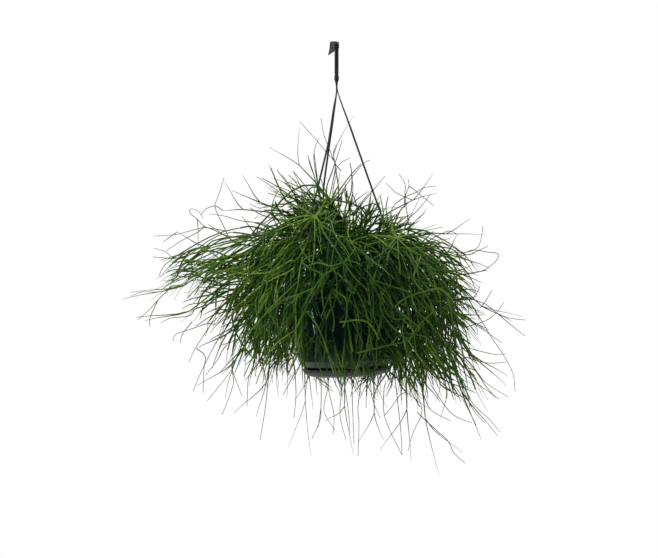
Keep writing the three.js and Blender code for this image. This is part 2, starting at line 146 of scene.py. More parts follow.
FORK_SPREAD, ROLL_PLAY = (12, 40), (-0.5, 0.5)
FORK_LENGTHS, FORK_SCALE = (52, 94), (0.6, 1.35)
STEM_TRIES, BRANCH_TRIES, BRANCH_SWING = 24, 8, 11
DROOP, DROOP_LEAST, STEEPEST = 6, 0.3, -86
APART = 0.55
FULL_TURN = 6.2832
CLEAR_ABOVE, LIP_LOW, WALL_LOW = 5, -12, -108  # heights, for the room that the pot takes
LIP_ROOM, WALL_ROOM, SAUCER_ROOM = RIM + 2.2, 69, 54
WALL_TAPER, WALL_TALL = 12, 93
MOUTH_RADIUS, MOUTH_DEEP = 60, 25  # stems pass here
UNDER_RADIUS, UNDER_ROOM = 44, 4


def draw_from(seed):
    """A repeatable stream of numbers: each call gives the next one between low and high."""
    state = [(seed * 7919 + 104729) % 2147483647]

    def draw(low, high):
        state[0] = (state[0] * 16807) % 2147483647
        return low + (high - low) * (state[0] / 2147483647)

    for _ in range(4):
        draw(0, 1)
    return draw


def unit(v):
    size = math.sqrt(v[0] ** 2 + v[1] ** 2 + v[2] ** 2)
    return (v[0] / size, v[1] / size, v[2] / size)


def aim(azimuth, elevation):
    a, e = math.radians(azimuth), math.radians(elevation)
    return (math.cos(a) * math.cos(e), math.sin(a) * math.cos(e), math.sin(e))


def around(degrees, radius):
    turn = math.radians(degrees)
    return radius * math.cos(turn), radius * math.sin(turn)


def along(start, direction, far):
    return (start[0] + direction[0] * far, start[1] + direction[1] * far, start[2] + direction[2] * far)


def minus(p, q):
    return (p[0] - q[0], p[1] - q[1], p[2] - q[2])


def dot(p, q):
    return p[0] * q[0] + p[1] * q[1] + p[2] * q[2]


def clamped(x, low, high):
    return min(max(x, low), high)


def tilted(direction, angle, roll):
    """The direction turned away by angle, to the side that roll says. Both are in radians."""
    x, y, z = direction
    level = math.hypot(x, y)
    u = (1.0, 0.0, 0.0) if level < 1e-6 else (-y / level, x / level, 0.0)
    v = (y * u[2] - z * u[1], z * u[0] - x * u[2], x * u[1] - y * u[0])
    a, b = math.cos(roll) * math.sin(angle), math.sin(roll) * math.sin(angle)
    return unit([c * math.cos(angle) + u[i] * a + v[i] * b for i, c in enumerate(direction)])


def drooped(direction):
    level = math.hypot(direction[0], direction[1])
    drop = DROOP * (DROOP_LEAST + (1 - DROOP_LEAST) * level)
    elevation = math.degrees(math.atan2(direction[2], level)) - drop
    return aim(math.degrees(math.atan2(direction[1], direction[0])), max(elevation, STEEPEST))


def bump(angle, middle, wide):
    off = (angle - middle + 180) % 360 - 180
    return math.exp(-((off / wide) ** 2))


def between(x, table):
    """The value at x on straight lines between the table's rows."""
    if x <= table[0][0]:
        return table[0][1]
    for (x0, y0), (x1, y1) in zip(table, table[1:]):
        if x <= x1:
            return y0 + ((y1 - y0) * (x - x0)) / (x1 - x0)
    return table[-1][1]


def crown_reach(azimuth, elevation):
    far = between(elevation, CROWN)
    for middle, wide, height, tall, more in LOBES:
        far += more * bump(azimuth, middle, wide) * bump(elevation, height, tall)
    return far


def crown_point(azimuth, elevation, far):
    return along((0, 0, CROWN_Z), aim(azimuth, elevation), far)


def pot_room(z):
    """Radius of the room that the pot and saucer take at a height."""
    if z > CLEAR_ABOVE:
        return 0
    if z > LIP_LOW:
        return LIP_ROOM
    if z > WALL_LOW:
        return WALL_ROOM - (WALL_TAPER * (-z - 2)) / WALL_TALL
    return SAUCER_ROOM if z > FOOT_Z - UNDER_ROOM else 0


def misses_pot(a, b):
    for step in range(1, 9):
        x, y, z = (c + ((b[i] - c) * step) / 8 for i, c in enumerate(a))
        out = math.hypot(x, y)
        in_mouth = out < MOUTH_RADIUS and z > SOIL_Z - MOUTH_DEEP
        if out < pot_room(z) and not in_mouth:
            return False
        if z < FOOT_Z - UNDER_ROOM and out < UNDER_RADIUS:
            return False
    return True


MOST = 40000  # stretches or joints


class Room:
    """Every stretch of stem laid so far, kept so that a new one can be tested against all of them."""

    def __init__(self):
        self.a, self.b, self.middle = (np.zeros((MOST, 3)) for _ in range(3))
        self.half, self.radius = np.zeros(MOST), np.zeros(MOST)
        self.count = 0

    def lay(self, points, radius):
        first = self.count
        for p, q in zip(points, points[1:]):
            i = self.count
            self.a[i], self.b[i], self.radius[i] = p, q, radius
            self.middle[i] = (self.a[i] + self.b[i]) / 2
            self.half[i] = np.linalg.norm(self.b[i] - self.a[i]) / 2
            self.count += 1
        return list(range(first, self.count))

    def clear(self, p, q, radius, neighbours, apart=APART):
        n = self.count
        p, q = np.array(p, float), np.array(q, float)
        half = np.linalg.norm(q - p) / 2
        off = self.middle[:n] - (p + q) / 2
        reach = self.half[:n] + half + radius + self.radius[:n] + apart
        close = np.nonzero(np.einsum("ij,ij->i", off, off) < reach * reach)[0]
        if neighbours:
            close = close[~np.isin(close, neighbours)]
        if not len(close):
            return True
        far = stretch_distance(p, q, self.a[close], self.b[close])
        return bool((far >= radius + self.radius[close] + apart).all())


def stretch_distance(p1, q1, p2, q2):
    """Shortest distances from one straight stretch to each of several."""
    d1, d2, r = q1 - p1, q2 - p2, p1 - p2
    a, e, f = d1 @ d1, (d2 * d2).sum(1), (d2 * r).sum(1)
    c, b = r @ d1, d2 @ d1
    den = a * e - b * b
    s = np.where(den > 1e-9, np.clip((b * f - c * e) / np.maximum(den, 1e-9), 0, 1), 0.0)
    t = (b * s + f) / e
    s = np.where(t < 0, np.clip(-c / a, 0, 1), np.where(t > 1, np.clip((b - c) / a, 0, 1), s))
    t = np.clip(t, 0, 1)
    w = r + d1 * s[:, None] - d2 * t[:, None]
    return np.sqrt((w * w).sum(1))


room = Room()
joints = []  # where a stem can fork: its place, the way it goes, its spray and the stretches that meet there
stems = []  # each a run of points or of curves, with the number of the spray that it belongs to


def add_joint(place, way, spray, touching):
    joints.append({"place": place, "way": way, "spray": spray, "touch": list(touching)})
    return joints[-1]


def main_path(root, turn, azimuth, elevation, far, share, draw):
    """Places along a main stem: its foot, then the arch from the pot's mouth to where it starts to fork."""
    end = crown_point(azimuth, elevation, far * share)
    out = math.hypot(end[0], end[1])
    near = 0
    if end[2] < OVER_RIM:
        if out < OFF_WALL:
            push = (OFF_WALL + draw(*WALL_PLAY)) / out
            end = (end[0] * push, end[1] * push, end[2])
            out *= push
        near = clamped((FREE_OF_WALL - out) / WALL_FADE, 0, 1)
    falling = (elevation - draw(*FALL)) * (1 - near) - PLUMB * near
    last = aim(azimuth + draw(*END_SWING), falling)
    step_x, step_y = around(turn, STEM_STEP)
    foot = (root[0] + step_x, root[1] + step_y, root[2])
    out_x, out_y = around(azimuth, MOUTH_STEP)
    mouth = (foot[0] + out_x, foot[1] + out_y, 0.0)
    span = math.sqrt(dot(minus(end, mouth), minus(end, mouth)))
    steep = RISE_STEEP - RISE_EASED * near
    rise = along(mouth, aim(azimuth, steep), span * draw(*RISE_SHARE) + CLIMB * near)
    fall = along(end, last, -(span * draw(*FALL_SHARE) + DROP * near))
    path = [foot]
    for step in range(ARCH_STEPS + 1):
        t = step / ARCH_STEPS
        k = 1 - t
        parts = zip((k * k * k, 3 * k * k * t, 3 * k * t * t, t * t * t), (mouth, rise, fall, end))
        path.append(tuple(sum(part) for part in zip(*[[w * c for c in p] for w, p in parts])))
    return path


def branchlet(start, direction, length, radius, draw, neighbours):
    """Where a branch from start can end, and which way it goes, or None if there is no room for it."""
    for attempt in range(BRANCH_TRIES):
        turned_by = math.radians(BRANCH_SWING * attempt)
        way = drooped(tilted(direction, turned_by, draw(0, FULL_TURN)) if attempt else direction)
        end = along(start, way, length)
        if misses_pot(start, end) and room.clear(start, end, radius, neighbours):
            return end, way
    return None


def fork(spray, parent, joint, direction, level, count, how, neighbours):
    """Branches from a joint, and theirs in turn. The first one carries its parent on."""
    forks, scale, draw = how
    if level == forks:
        return
    length, radius = FORKS[level]
    first = draw(0, FULL_TURN)
    mine = []
    carried = parent
    for i in range(count):
        spread = math.radians(draw(*FORK_SPREAD))
        roll = first + (FULL_TURN * i) / count + draw(*ROLL_PLAY)
        long = draw(*length) * scale
        start = joint["place"]
        made = branchlet(start, tilted(direction, spread, roll), long, radius, draw, [*neighbours, *mine])
        if not made:
            continue
        end, way = made
        own = room.lay([start, end], radius)
        mine += own
        joint["touch"] += own
        stem = carried
        if not carried:
            stem = {"spray": spray, "points": [start], "arch": 0, "from": joint["way"], "thick": radius}
            stems.append(stem)
        stem["points"].append(end)
        carried = None
        tip = add_joint(end, way, spray, own)
        stem["end"] = tip
        fork(spray, stem, tip, way, level + 1, 2, how, own)


def grow_stem(spray, kind, target, draw):
    """One main stem of a spray with its branches, if a try finds room for it."""
    turn, tips, forks, side, radius = kind
    for _ in range(STEM_TRIES):
        azimuth, elevation, far, share = target(draw)
        points = main_path(spray["root"], turn, azimuth, elevation, far, share, draw)
        if not all(misses_pot(a, b) for a, b in zip(points[1:], points[2:])):
            continue
        if not all(room.clear(a, b, radius, spray["feet"]) for a, b in zip(points, points[1:])):
            continue
        own = room.lay(points, radius)
        spray["feet"] += own[:2]
        number = spray["number"]
        stem = {"spray": number, "points": list(points), "arch": len(points), "thick": radius}
        stems.append(stem)
        onward = unit(minus(crown_point(azimuth, elevation, far), points[-1]))
        how = (forks, clamped((far * (1 - share)) / FORK_LENGTHS[forks - 1], *FORK_SCALE), draw)
        knots = []
        for k in range(2, len(points)):
            way = unit(minus(points[k], points[k - 1]))
            knots.append(add_joint(points[k], way, number, own[k - 1 : k + 1]))
        stem["end"] = knots[-1]
        fork(number, stem, knots[-1], onward, 0, tips, how, own[-1:])
        if side:
            back = unit(minus(points[SIDE_AT], points[SIDE_AT - 1]))
            fork(number, None, knots[SIDE_AT - 2], back, 0, 1, how, own[SIDE_AT - 1 : SIDE_AT + 1])
        return


def strand_path(azimuth, bend):
    """Places along a strand, from inside the knob to the underside of the rim."""
    neck = (*around(azimuth, NECK_OUT), NECK_Z)
    full = tuple(c + (bend[i] - c) * 0.3 for i, c in enumerate(neck))
    hole = around(azimuth, STRAND_CIRCLE)
    return [(*neck[:2], KNOB_Z), neck, full, bend, (*hole, LEG_Z), (*hole, HOLE_Z)]


def grow_sprays():
    """The stems that the solids have too. Returns the number of sprays."""
    sprays = []
    for radius, count, start, elevations, fan in RINGS:
        for i in range(count):
            azimuth = start + (360 * i) / count
            spray = {"azimuth": azimuth, "root": (*around(azimuth, radius), SOIL_Z - ROOT_DEEP), "feet": []}
            spray.update(number=len(sprays), elevations=elevations, fan=fan)
            sprays.append(spray)
    for azimuth, bend in STRANDS.values():
        room.lay(strand_path(azimuth, bend), STRAND_RADIUS + 0.6)
    for i, (number, azimuth, elevation, far) in enumerate(STRAYS):

        def stray(draw):
            swing, tip = STRAY_PLAY
            return azimuth + draw(-swing, swing), elevation + draw(-tip, tip), far, STRAY_SHARE

        grow_stem(sprays[number], STRAY_STEM, stray, draw_from(500 + i))
    for m, kind in enumerate(CROWN_STEMS):
        for i, spray in enumerate(sprays):

            def target(draw):
                azimuth = spray["azimuth"] + spray["fan"] * draw(-1, 1)
                elevation = spray["elevations"][m] + ELEVATION_SPREAD * draw(-1, 1)
                return azimuth, elevation, crown_reach(azimuth, elevation), draw(*CROWN_SHARE)

            grow_stem(spray, kind, target, draw_from(1000 * (i + 1) + m))
    return len(sprays)


# ---- The rest of the plant: finer stems that fill the crown, each growing from a joint of what is there ----
CROWN_MIDDLE = (342.8, 262.0)  # in the picture
# How far out the crown is full and where it has thinned out, for each of these directions in the picture.
DIRECTIONS = range(-180, 181, 15)
FULL = [
    66, 62, 100, 112, 102, 106, 110, 112, 108, 122, 114, 110, 98, 74, 48, 32, 24, 24, 38, 60, 68, 60, 50, 42,
    66,
]
THINNED = [
    190, 178, 150, 152, 136, 122, 142, 144, 160, 204, 158, 136, 126, 98, 86, 68, 70, 56, 78, 90, 94, 100, 100,
    116, 190,
]
CROWN_DEEP = 124.0  # millimetres, from the middle to the front and to the back
ACROSS, DOWN, DEEP = (160, 520), (172, 420), (-162, 174)  # where stems end in the picture, and how deep
STRAY_SHARE_DEEP = 0.06  # of the stems that would stand out in front or behind, those that do
WINDOW = ((308, 352), (298, 366))  # the pot shows between the stems in front of it here
WINDOW_SHARES = (0.2, 0.1)  # of the stems that would end there, those that do: high up, and low down
WINDOW_HALF = 322
# Places in the picture that need more stems: left, right, high, low, how near and far from the pot's middle,
# and how many. They go in front of it and behind it by turns, and those of EXTRA_BEHIND only behind it.
EXTRA = [
    (340, 382, 376, 400, 50, 100, 60), (256, 304, 236, 345, 58, 108, 230), (380, 416, 256, 340, 58, 108, 110),
    (166, 212, 256, 284, 0, 40, 60), (264, 290, 178, 204, 0, 60, 16), (262, 290, 352, 376, 20, 80, 40),
    (450, 480, 266, 322, 0, 60, 36), (402, 426, 376, 400, 20, 90, 16), (294, 314, 224, 246, 30, 108, 12),
    (285, 420, 248, 300, 60, 110, 150), (340, 356, 254, 270, 30, 100, 16), (398, 412, 284, 312, 40, 110, 30),
    (292, 304, 256, 274, 40, 110, 16),
]
EXTRA_BEHIND = [(304, 344, 378, 396, 20, 80, 30)]
GAPS = [  # where it is open: left, right, high and low
    (203, 251, 212, 256), (176, 234, 282, 304), (196, 250, 366, 400), (288, 306, 358, 384),
    (286, 312, 176, 198), (428, 452, 236, 262),
]
OPEN_SHARE = 0.22  # of the stems that would end there, those that do
EDGE, EDGE_WIDE = 1.32, 0.32  # how far out in the crown stems still end
STRAY_OUT, STRAY_DEEP = (1.25, 1.5), 110  # where those stand out
ACROSS_ABOVE, ACROSS_WITHIN = -60, 0.95  # stems lie across the crown's face above and within these
HAIR_DEEP = 164.0  # no young shoot reaches further than this to the front or the back
HAIR_RADIUS, HAIR_LENGTHS = 0.36, (12, 34)
# How a joint scores for a stem, the lowest best: by its distance, by how far the stem would be off the wanted
# way, by its turn at the foot, by the stems that the joint has already, and by luck.
FAR_UNIT, PULL_COST, TURN_COST, CROWDED_COST, LUCK = 60, 3.2, 0.9, 0.3, 0.4
BACKWARDS, BACKWARDS_COST = -0.1, 3
LIFTS, BOW = (0.02, 0.16), 0.075  # how stems arch and bend aside, against their length
HANGING, SWAY = 0.5, 0.28  # how far stems hang from straight outwards, and by how much that varies
FACE_SWING, FACE_OUT = 1.15, 0.25  # across the crown's face, how much their way varies and stands off it
TRIES, FURTHER_OUT, CHOICES = 8, 0.06, 4  # for each stem, how far out its joint can be, and joints tried
MORE_OUTWARDS, THICKER = 0.7, 0.16  # towards the edge, more places are taken and the stems get stouter


def crown_place(points):
    """How far out points lie in the crown, 1 where it starts to thin and 1.3 at its edge, with where they
    show."""
    px, py, depth = seen(points)
    dx, dy = px - CROWN_MIDDLE[0], CROWN_MIDDLE[1] - py
    turn, far = np.degrees(np.arctan2(dy, dx)), np.hypot(dx, dy)
    full, faded = (np.interp(turn, DIRECTIONS, reach) for reach in (FULL, THINNED))
    beyond = np.maximum(far - full, 0) / (faded - full)
    aside = np.where(far < full, far / full, 1 + 0.3 * beyond ** np.where(beyond < 1, 0.65, 1))
    return np.sqrt(aside**2 + ((depth - HUB[1]) / CROWN_DEEP) ** 2), px, py, depth


def normed(v):
    return v / np.linalg.norm(v)


def bezier(controls, t):
    t = np.asarray(t, float)[:, None]
    k = 1 - t
    c = np.asarray(controls, float)
    return k**3 * c[0] + 3 * k * k * t * c[1] + 3 * k * t * t * c[2] + t**3 * c[3]


def through(run):
    """The segments of a smooth line through these places, each four control points."""
    made = []
    for i, (p, q) in enumerate(zip(run, run[1:])):
        before, after = run[max(i - 1, 0)], run[min(i + 2, len(run) - 1)]
        made.append([p, p + (q - before) / 6, q - (after - p) / 6, q])
    return made


def bowed(start, way, end, bow, lift):
    """Control points of a stem that leaves start along way and comes to end, arched up by lift where it lies
    level."""
    start, end = np.asarray(start, float), np.asarray(end, float)
    chord = end - start
    long = np.linalg.norm(chord)
    first = normed(np.asarray(way) * 0.8 + chord / long)
    up = np.array([0, 0, lift * (math.hypot(chord[0], chord[1]) / long) * long])
    return [start, start + first * long * 0.36 + up * 0.5, end - chord * 0.34 + bow * long + up, end]


class Fine:
    """Grows the finer stems. Keeps the joints as arrays, so that the best one for a place is quickly
    found."""

    def __init__(self, seed):
        self.rng = np.random.default_rng(seed)
        self.place, self.way = np.zeros((MOST, 3)), np.zeros((MOST, 3))
        self.out, self.children = np.zeros(MOST), np.zeros(MOST)
        self.count = 0
        self.refresh()

    def refresh(self):
        """Takes in the joints that are new."""
        n, m = self.count, len(joints)
        self.place[n:m] = [j["place"] for j in joints[n:]]
        self.way[n:m] = [j["way"] for j in joints[n:]]
        self.out[n:m] = crown_place(self.place[n:m])[0]
        self.children[n:m] = [max(len(j["touch"]) - 2, 0) for j in joints[n:]]
        self.count = m

    def best(self, target, out, pull, reach):
        """The joints that suit a stem to target best, where it should be going along pull."""
        n = self.count
        v = target - self.place[:n]
        far = np.sqrt((v * v).sum(1))
        near = np.nonzero((far > reach[0]) & (far < reach[1]) & (self.out[:n] < out + FURTHER_OUT))[0]
        if not len(near):
            return []
        v = v[near] / far[near, None]
        turn = (v * self.way[near]).sum(1)
        score = far[near] / FAR_UNIT + PULL_COST * (1 - v @ pull) + TURN_COST * (1 - turn)
        score += CROWDED_COST * self.children[near] + self.rng.uniform(0, LUCK, len(near))
        score[turn < BACKWARDS] += BACKWARDS_COST
        return near[np.argsort(score)[:CHOICES]]

    def pull_at(self, target, across):
        """The way that a stem should be going at target: outwards and down, or across the crown's face."""
        outward = normed(np.array([target[0], target[1], target[2] * 1.1 - 6.0]))
        if not across:
            return normed(outward - np.array([0, 0, HANGING]) + self.rng.normal(0, SWAY, 3))
        down = outward * outward[2] - np.array([0, 0, 1.0])
        down /= np.linalg.norm(down) + 1e-6
        turn = self.rng.normal(0, FACE_SWING)
        return down * math.cos(turn) + np.cross(outward, down) * math.sin(turn) + outward * FACE_OUT

    def grow(self, target, radius, across, reach, apart):
        """One stem to target from the joint that suits it best. True if there was room for it."""
        out = float(crown_place(target)[0][0])
        choices = self.best(target, out, self.pull_at(target, across), reach)
        return any(self.attach(int(k), target, radius, apart) for k in choices)

    def attach(self, k, target, radius, apart, lift=None):
        """One stem from joint k to target, if there is room for it."""
        joint = joints[k]
        lift = self.rng.uniform(*LIFTS) if lift is None else lift
        controls = bowed(joint["place"], joint["way"], target, self.rng.normal(0, BOW, 3), lift)
        path = [tuple(p) for p in bezier(controls, np.linspace(0, 1, 4))]
        for a, b in zip(path, path[1:]):
            if not misses_pot(a, b) or not room.clear(a, b, radius, joint["touch"], apart):
                return False
        own = room.lay(path, radius)
        joint["touch"] += own[:1]
        self.children[k] += 1
        stem = {"spray": joint["spray"], "curves": [controls], "arch": 0, "thick": radius}
        stem["end"] = add_joint(path[-1], unit(minus(path[-1], path[-2])), joint["spray"], own[-1:])
        stems.append(stem)
        self.refresh()
        return True

    def lead(self, k, places, radius, tone, slim):
        """One stem of several segments from joint k through these places."""
        run = [self.place[k], *(np.asarray(p, float) for p in places)]
        stem = {"spray": joints[k]["spray"], "curves": through(run), "arch": 0, "thick": radius}
        stems.append({**stem, "tone": tone, "slim": slim})
        for p, q in zip(run, run[1:]):
            own = room.lay([tuple(p), tuple(q)], radius)
            add_joint(tuple(q), unit(tuple(q - p)), stem["spray"], own)
        self.children[k] += 1
        self.refresh()


def fill_crown(fine, wanted, reach, across_share, apart, girth=(0.62, 0.98), core=0.4, skirt=0.7):
    """Stems to places drawn all through the crown, fewer in the window in front of the pot. core and skirt
    say how likely a place is at the middle and where the crown starts to thin."""
    rng = fine.rng
    made = 0
    (left, right), (high, low) = WINDOW
    for _ in range(wanted * TRIES):
        if made >= wanted:
            break
        depth = rng.uniform(*DEEP)
        target = np.array(sighted(rng.uniform(*ACROSS), rng.uniform(*DOWN), depth))
        out, px, py, _ = (float(v[0]) for v in crown_place(target))
        if rng.random() > (core + MORE_OUTWARDS * out**2 if out < 1 else skirt * (EDGE - out) / EDGE_WIDE):
            standing_out = STRAY_OUT[0] < out < STRAY_OUT[1] and abs(depth) > STRAY_DEEP
            if not (standing_out and rng.random() < STRAY_SHARE_DEEP):
                continue
        in_window = left < px < right and high < py < low
        if in_window and depth < HUB[1] and rng.random() > WINDOW_SHARES[py >= WINDOW_HALF]:
            continue
        if any(x0 < px < x1 and y0 < py < y1 for x0, x1, y0, y1 in GAPS) and rng.random() > OPEN_SHARE:
            continue
        facing = abs(target[1]) / math.hypot(target[0], target[1])
        may_cross = target[2] > ACROSS_ABOVE and out < ACROSS_WITHIN
        across = may_cross and rng.random() < across_share * facing
        radius = rng.uniform(*girth) + THICKER * clamped((out - 0.9) / 0.25, 0, 1)
        made += fine.grow(target, radius, across, reach, apart)


def fill_extra(fine):
    """More stems to the places of EXTRA and EXTRA_BEHIND."""
    rng = fine.rng
    for places, sides in ((EXTRA, (-1, 1)), (EXTRA_BEHIND, (1, 1))):
        for left, right, high, low, near, far, wanted in places:
            for k in range(wanted):
                depth = HUB[1] + rng.uniform(near, far) * sides[k % 2]
                target = np.array(sighted(rng.uniform(left, right), rng.uniform(high, low), depth))
                fine.grow(target, rng.uniform(0.6, 0.9), False, (30, 100), 0.1)


def grow_hairs(fine, wanted):
    """Thin young shoots on the ends of stems where the crown thins out."""
    rng = fine.rng
    n = fine.count
    out, (x, y) = fine.out[:n], fine.place[:n, :2].T
    sideways = y > -0.8 * np.hypot(x, y)
    ends = np.nonzero((fine.children[:n] == 0) & (out > 0.97) & (out < 1.3) & sideways)[0]
    for k in rng.permutation(ends)[:wanted]:
        way = unit(tuple(fine.way[k] + rng.normal(0, 0.22, 3) + (0, 0, -0.25)))
        end = np.array(along(fine.place[k], way, rng.uniform(*HAIR_LENGTHS)))
        if abs(end[1]) < HAIR_DEEP and fine.attach(int(k), end, HAIR_RADIUS, 0.1, 0.0):
            stems[-1].update(tone=float(rng.uniform(0.1, 0.6)), slim=0.45)


# ---- Meshes ----
def new_piece(name, mesh, material, slot, *nodes):
    """A shown piece that rides on the part, with this material, and hides these CAD nodes that it stands for.
    slot is not used.
    """
    piece = bpy.data.objects.new(name, mesh)
    bpy.context.scene.collection.objects.link(piece)
    mesh.materials.append(material)
    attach(piece, "root")
    if nodes:
        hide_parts(*nodes)
    return piece


def add_faces(form, points, faces):
    made = [form.verts.new(p) for p in points]
    return [form.faces.new([made[i] for i in face]) for face in faces]


def mesh_of(name, points, faces, sharp=0.6):
    """A smooth-shaded mesh, its points in metres, whose edges bent by more than sharp radians stay crisp."""
    form = bmesh.new()
    add_faces(form, points, faces)
    return finished(name, form, sharp)


def finished(name, form, sharp=0.6):
    bmesh.ops.recalc_face_normals(form, faces=form.faces)
    for face in form.faces:
        face.smooth = True
    for edge in form.edges:
        if len(edge.link_faces) == 2 and edge.calc_face_angle() > sharp:
            edge.smooth = False
    mesh = bpy.data.meshes.new(name)
    form.to_mesh(mesh)
    form.free()
    return mesh


LEAST_TURN = 0.3  # radians: corners that turn less stay as they are
ARC_SHARE = 0.42  # of a side, the most that an arc takes up


def rounded(profile, radius, steps=3):
    """A closed profile with each corner turned into a small arc, and a point held on each side of the arc."""
    made = []
    for i, corner in enumerate(profile):
        p = np.array(corner, float)
        sides = [np.array(profile[k % len(profile)]) - p for k in (i - 1, i + 1)]
        longs = [np.linalg.norm(side) for side in sides]
        before, after = ways = [side / long for side, long in zip(sides, longs)]
        turn = math.pi - math.acos(clamped(float(before @ after), -1, 1))
        if p[0] < 1e-6 or turn < LEAST_TURN:
            made.append(tuple(p))
            continue
        cut = min(radius * math.tan(turn / 2), ARC_SHARE * min(longs))
        a, b = (p + way * cut for way in ways)
        arc = [(1 - t) ** 2 * a + 2 * t * (1 - t) * p + t * t * b for t in np.arange(steps + 1) / steps]
        first, last = ([p + way * cut * 2] if long > 5 * cut else [] for way, long in zip(ways, longs))
        made += map(tuple, first + arc + last)
    return made


def turned(profile, sides):
    """Points and faces of a profile of (radius, height) turned round the Z axis."""
    points, faces, rings = [], [], []
    angles = [2 * math.pi * k / sides for k in range(sides)]
    for r, z in profile:
        if r < 1e-6:
            rings.append([len(points)] * sides)
            points.append((0.0, 0.0, z))
            continue
        rings.append(list(range(len(points), len(points) + sides)))
        points += [(r * math.cos(a), r * math.sin(a), z) for a in angles]
    for lower, upper in zip(rings, rings[1:] + rings[:1]):
        for k in range(sides):
            n = (k + 1) % sides
            face = list(dict.fromkeys([lower[k], lower[n], upper[n], upper[k]]))
            if len(face) > 2:
                faces.append(face)
    return points, faces


def prism(sides, first=0):
    """Faces of a solid between two rings of points, that start at the point numbered first."""
    near, far = ([start + k for k in range(sides)] for start in (first, first + sides))
    walls = zip(near, near[1:] + near[:1], far[1:] + far[:1], far)
    return [near[::-1], far, *map(list, walls)]


def without(mesh, bores):
    """The mesh with round holes bored down through it. Each bore has a middle, a radius and half its length,
    in millimetres."""
    points, faces = [], []
    for middle, radius, half in bores:
        faces += prism(BORE_SIDES, len(points))
        ring = [np.array([*around(360 * k / BORE_SIDES, radius), 0]) / 1000 for k in range(BORE_SIDES)]
        for end in placed([along(middle, (0, 0, far), 1) for far in (-half, half)]):
            points += [end + p for p in ring]
    drill = mesh_of("drill", points, faces)
    body, tool = (bpy.data.objects.new(item.name, item) for item in (mesh, drill))
    for item in (body, tool):
        bpy.context.scene.collection.objects.link(item)
    cut = body.modifiers.new("bore", "BOOLEAN")
    cut.operation, cut.object, cut.solver = "DIFFERENCE", tool, "EXACT"
    bpy.context.view_layer.update()
    bored = bpy.data.meshes.new_from_object(body.evaluated_get(bpy.context.evaluated_depsgraph_get()))
    for item in (body, tool):
        bpy.data.objects.remove(item)
    form = bmesh.new()
    form.from_mesh(bored)
    return finished(mesh.name, form)


def frames(points):
    """Two side directions at each point of a run, carried along it without twisting."""
    ahead = np.gradient(points, axis=0)
    ahead /= np.linalg.norm(ahead, axis=1)[:, None]
    side = np.cross(ahead[0], (0.31, 0.77, 0.56))
    sides = np.empty_like(points)
    for i, way in enumerate(ahead):
        side = side - way * (side @ way)
        side = side / math.sqrt(side @ side)
        sides[i] = side
    return sides, np.cross(ahead, sides)


def tube(points, radii, sides):
    """Points and faces of a closed tube with rounded ends given by its radii."""
    u, v = frames(points)
    turn = np.arange(sides) * 2 * math.pi / sides
    ring = u[:, None] * np.cos(turn)[None, :, None] + v[:, None] * np.sin(turn)[None, :, None]
    made = (points[:, None] + ring * np.asarray(radii)[:, None, None]).reshape(-1, 3)
    k = np.arange(sides)
    base = np.arange(len(points) - 1)[:, None] * sides
    after = (k + 1) % sides
    quads = np.stack([base + k, base + after, base + sides + after, base + sides + k], 2).reshape(-1, 4)
    return made, quads


# ---- Stems as smooth jointed tubes ----
STEM_SIDES = 6
RINGS_AT = np.array([0.0, 0.05, 0.26, 0.48, 0.71, 0.93])  # along a segment
GIRTH_AT = ((0, 0.05, 0.2, 0.7, 0.93, 1), (0.8, 0.98, 1.0, 1.0, 1.06, 0.84))
TAPER = 0.62  # how much of its girth a stem loses by its end, where it ends at the edge of the crown
SLENDER = 0.82  # girth of the round stems against the solids' three-sided ones
FRONT_SHADE_SHARE = 0.66  # how far the painted shade inside the crown follows the crown's depth, against its width
NECK = 0.7  # girth at the foot of a stem that forks from another
TIP_FADE = (0.15, 0.5, 0.9, 1.0)  # how near the tip the last four rings count as
TONE_PLAY = 0.03
LEAVE, ARRIVE, SAG = 0.34, 0.33, np.array([0, 0, 0.03])  # how a straight branch is bent, against its length
THIN_FROM, THINNER_FROM = 1.22, 1.5  # how far out in the crown filling stems get thin, and thinner again
TAPER_FROM = 0.92
CAP, CAP_GIRTHS, APEX = 0.7 * 0.55, (0.93, 0.6), 0.85  # the rounded end, against the girth


def curves_of(stem, rng):
    """The stem's segments, each four control points."""
    if "curves" in stem:
        return stem["curves"]
    points = [np.array(p) for p in stem["points"]]
    arch = stem["arch"]
    made = through(points[:arch])
    way = normed(made[-1][3] - made[-1][2] if made else np.array(stem["from"]))
    for p, q in zip(points[max(arch - 1, 0) :], points[max(arch, 1) :]):
        chord = q - p
        long = np.linalg.norm(chord)
        first = normed(way * 0.7 + chord / long)
        sag = rng.normal(0, 0.02, 3) + SAG
        made.append([p, p + first * long * LEAVE, q - chord * ARRIVE + sag * long, q])
        way = normed(made[-1][3] - made[-1][2])
    return made


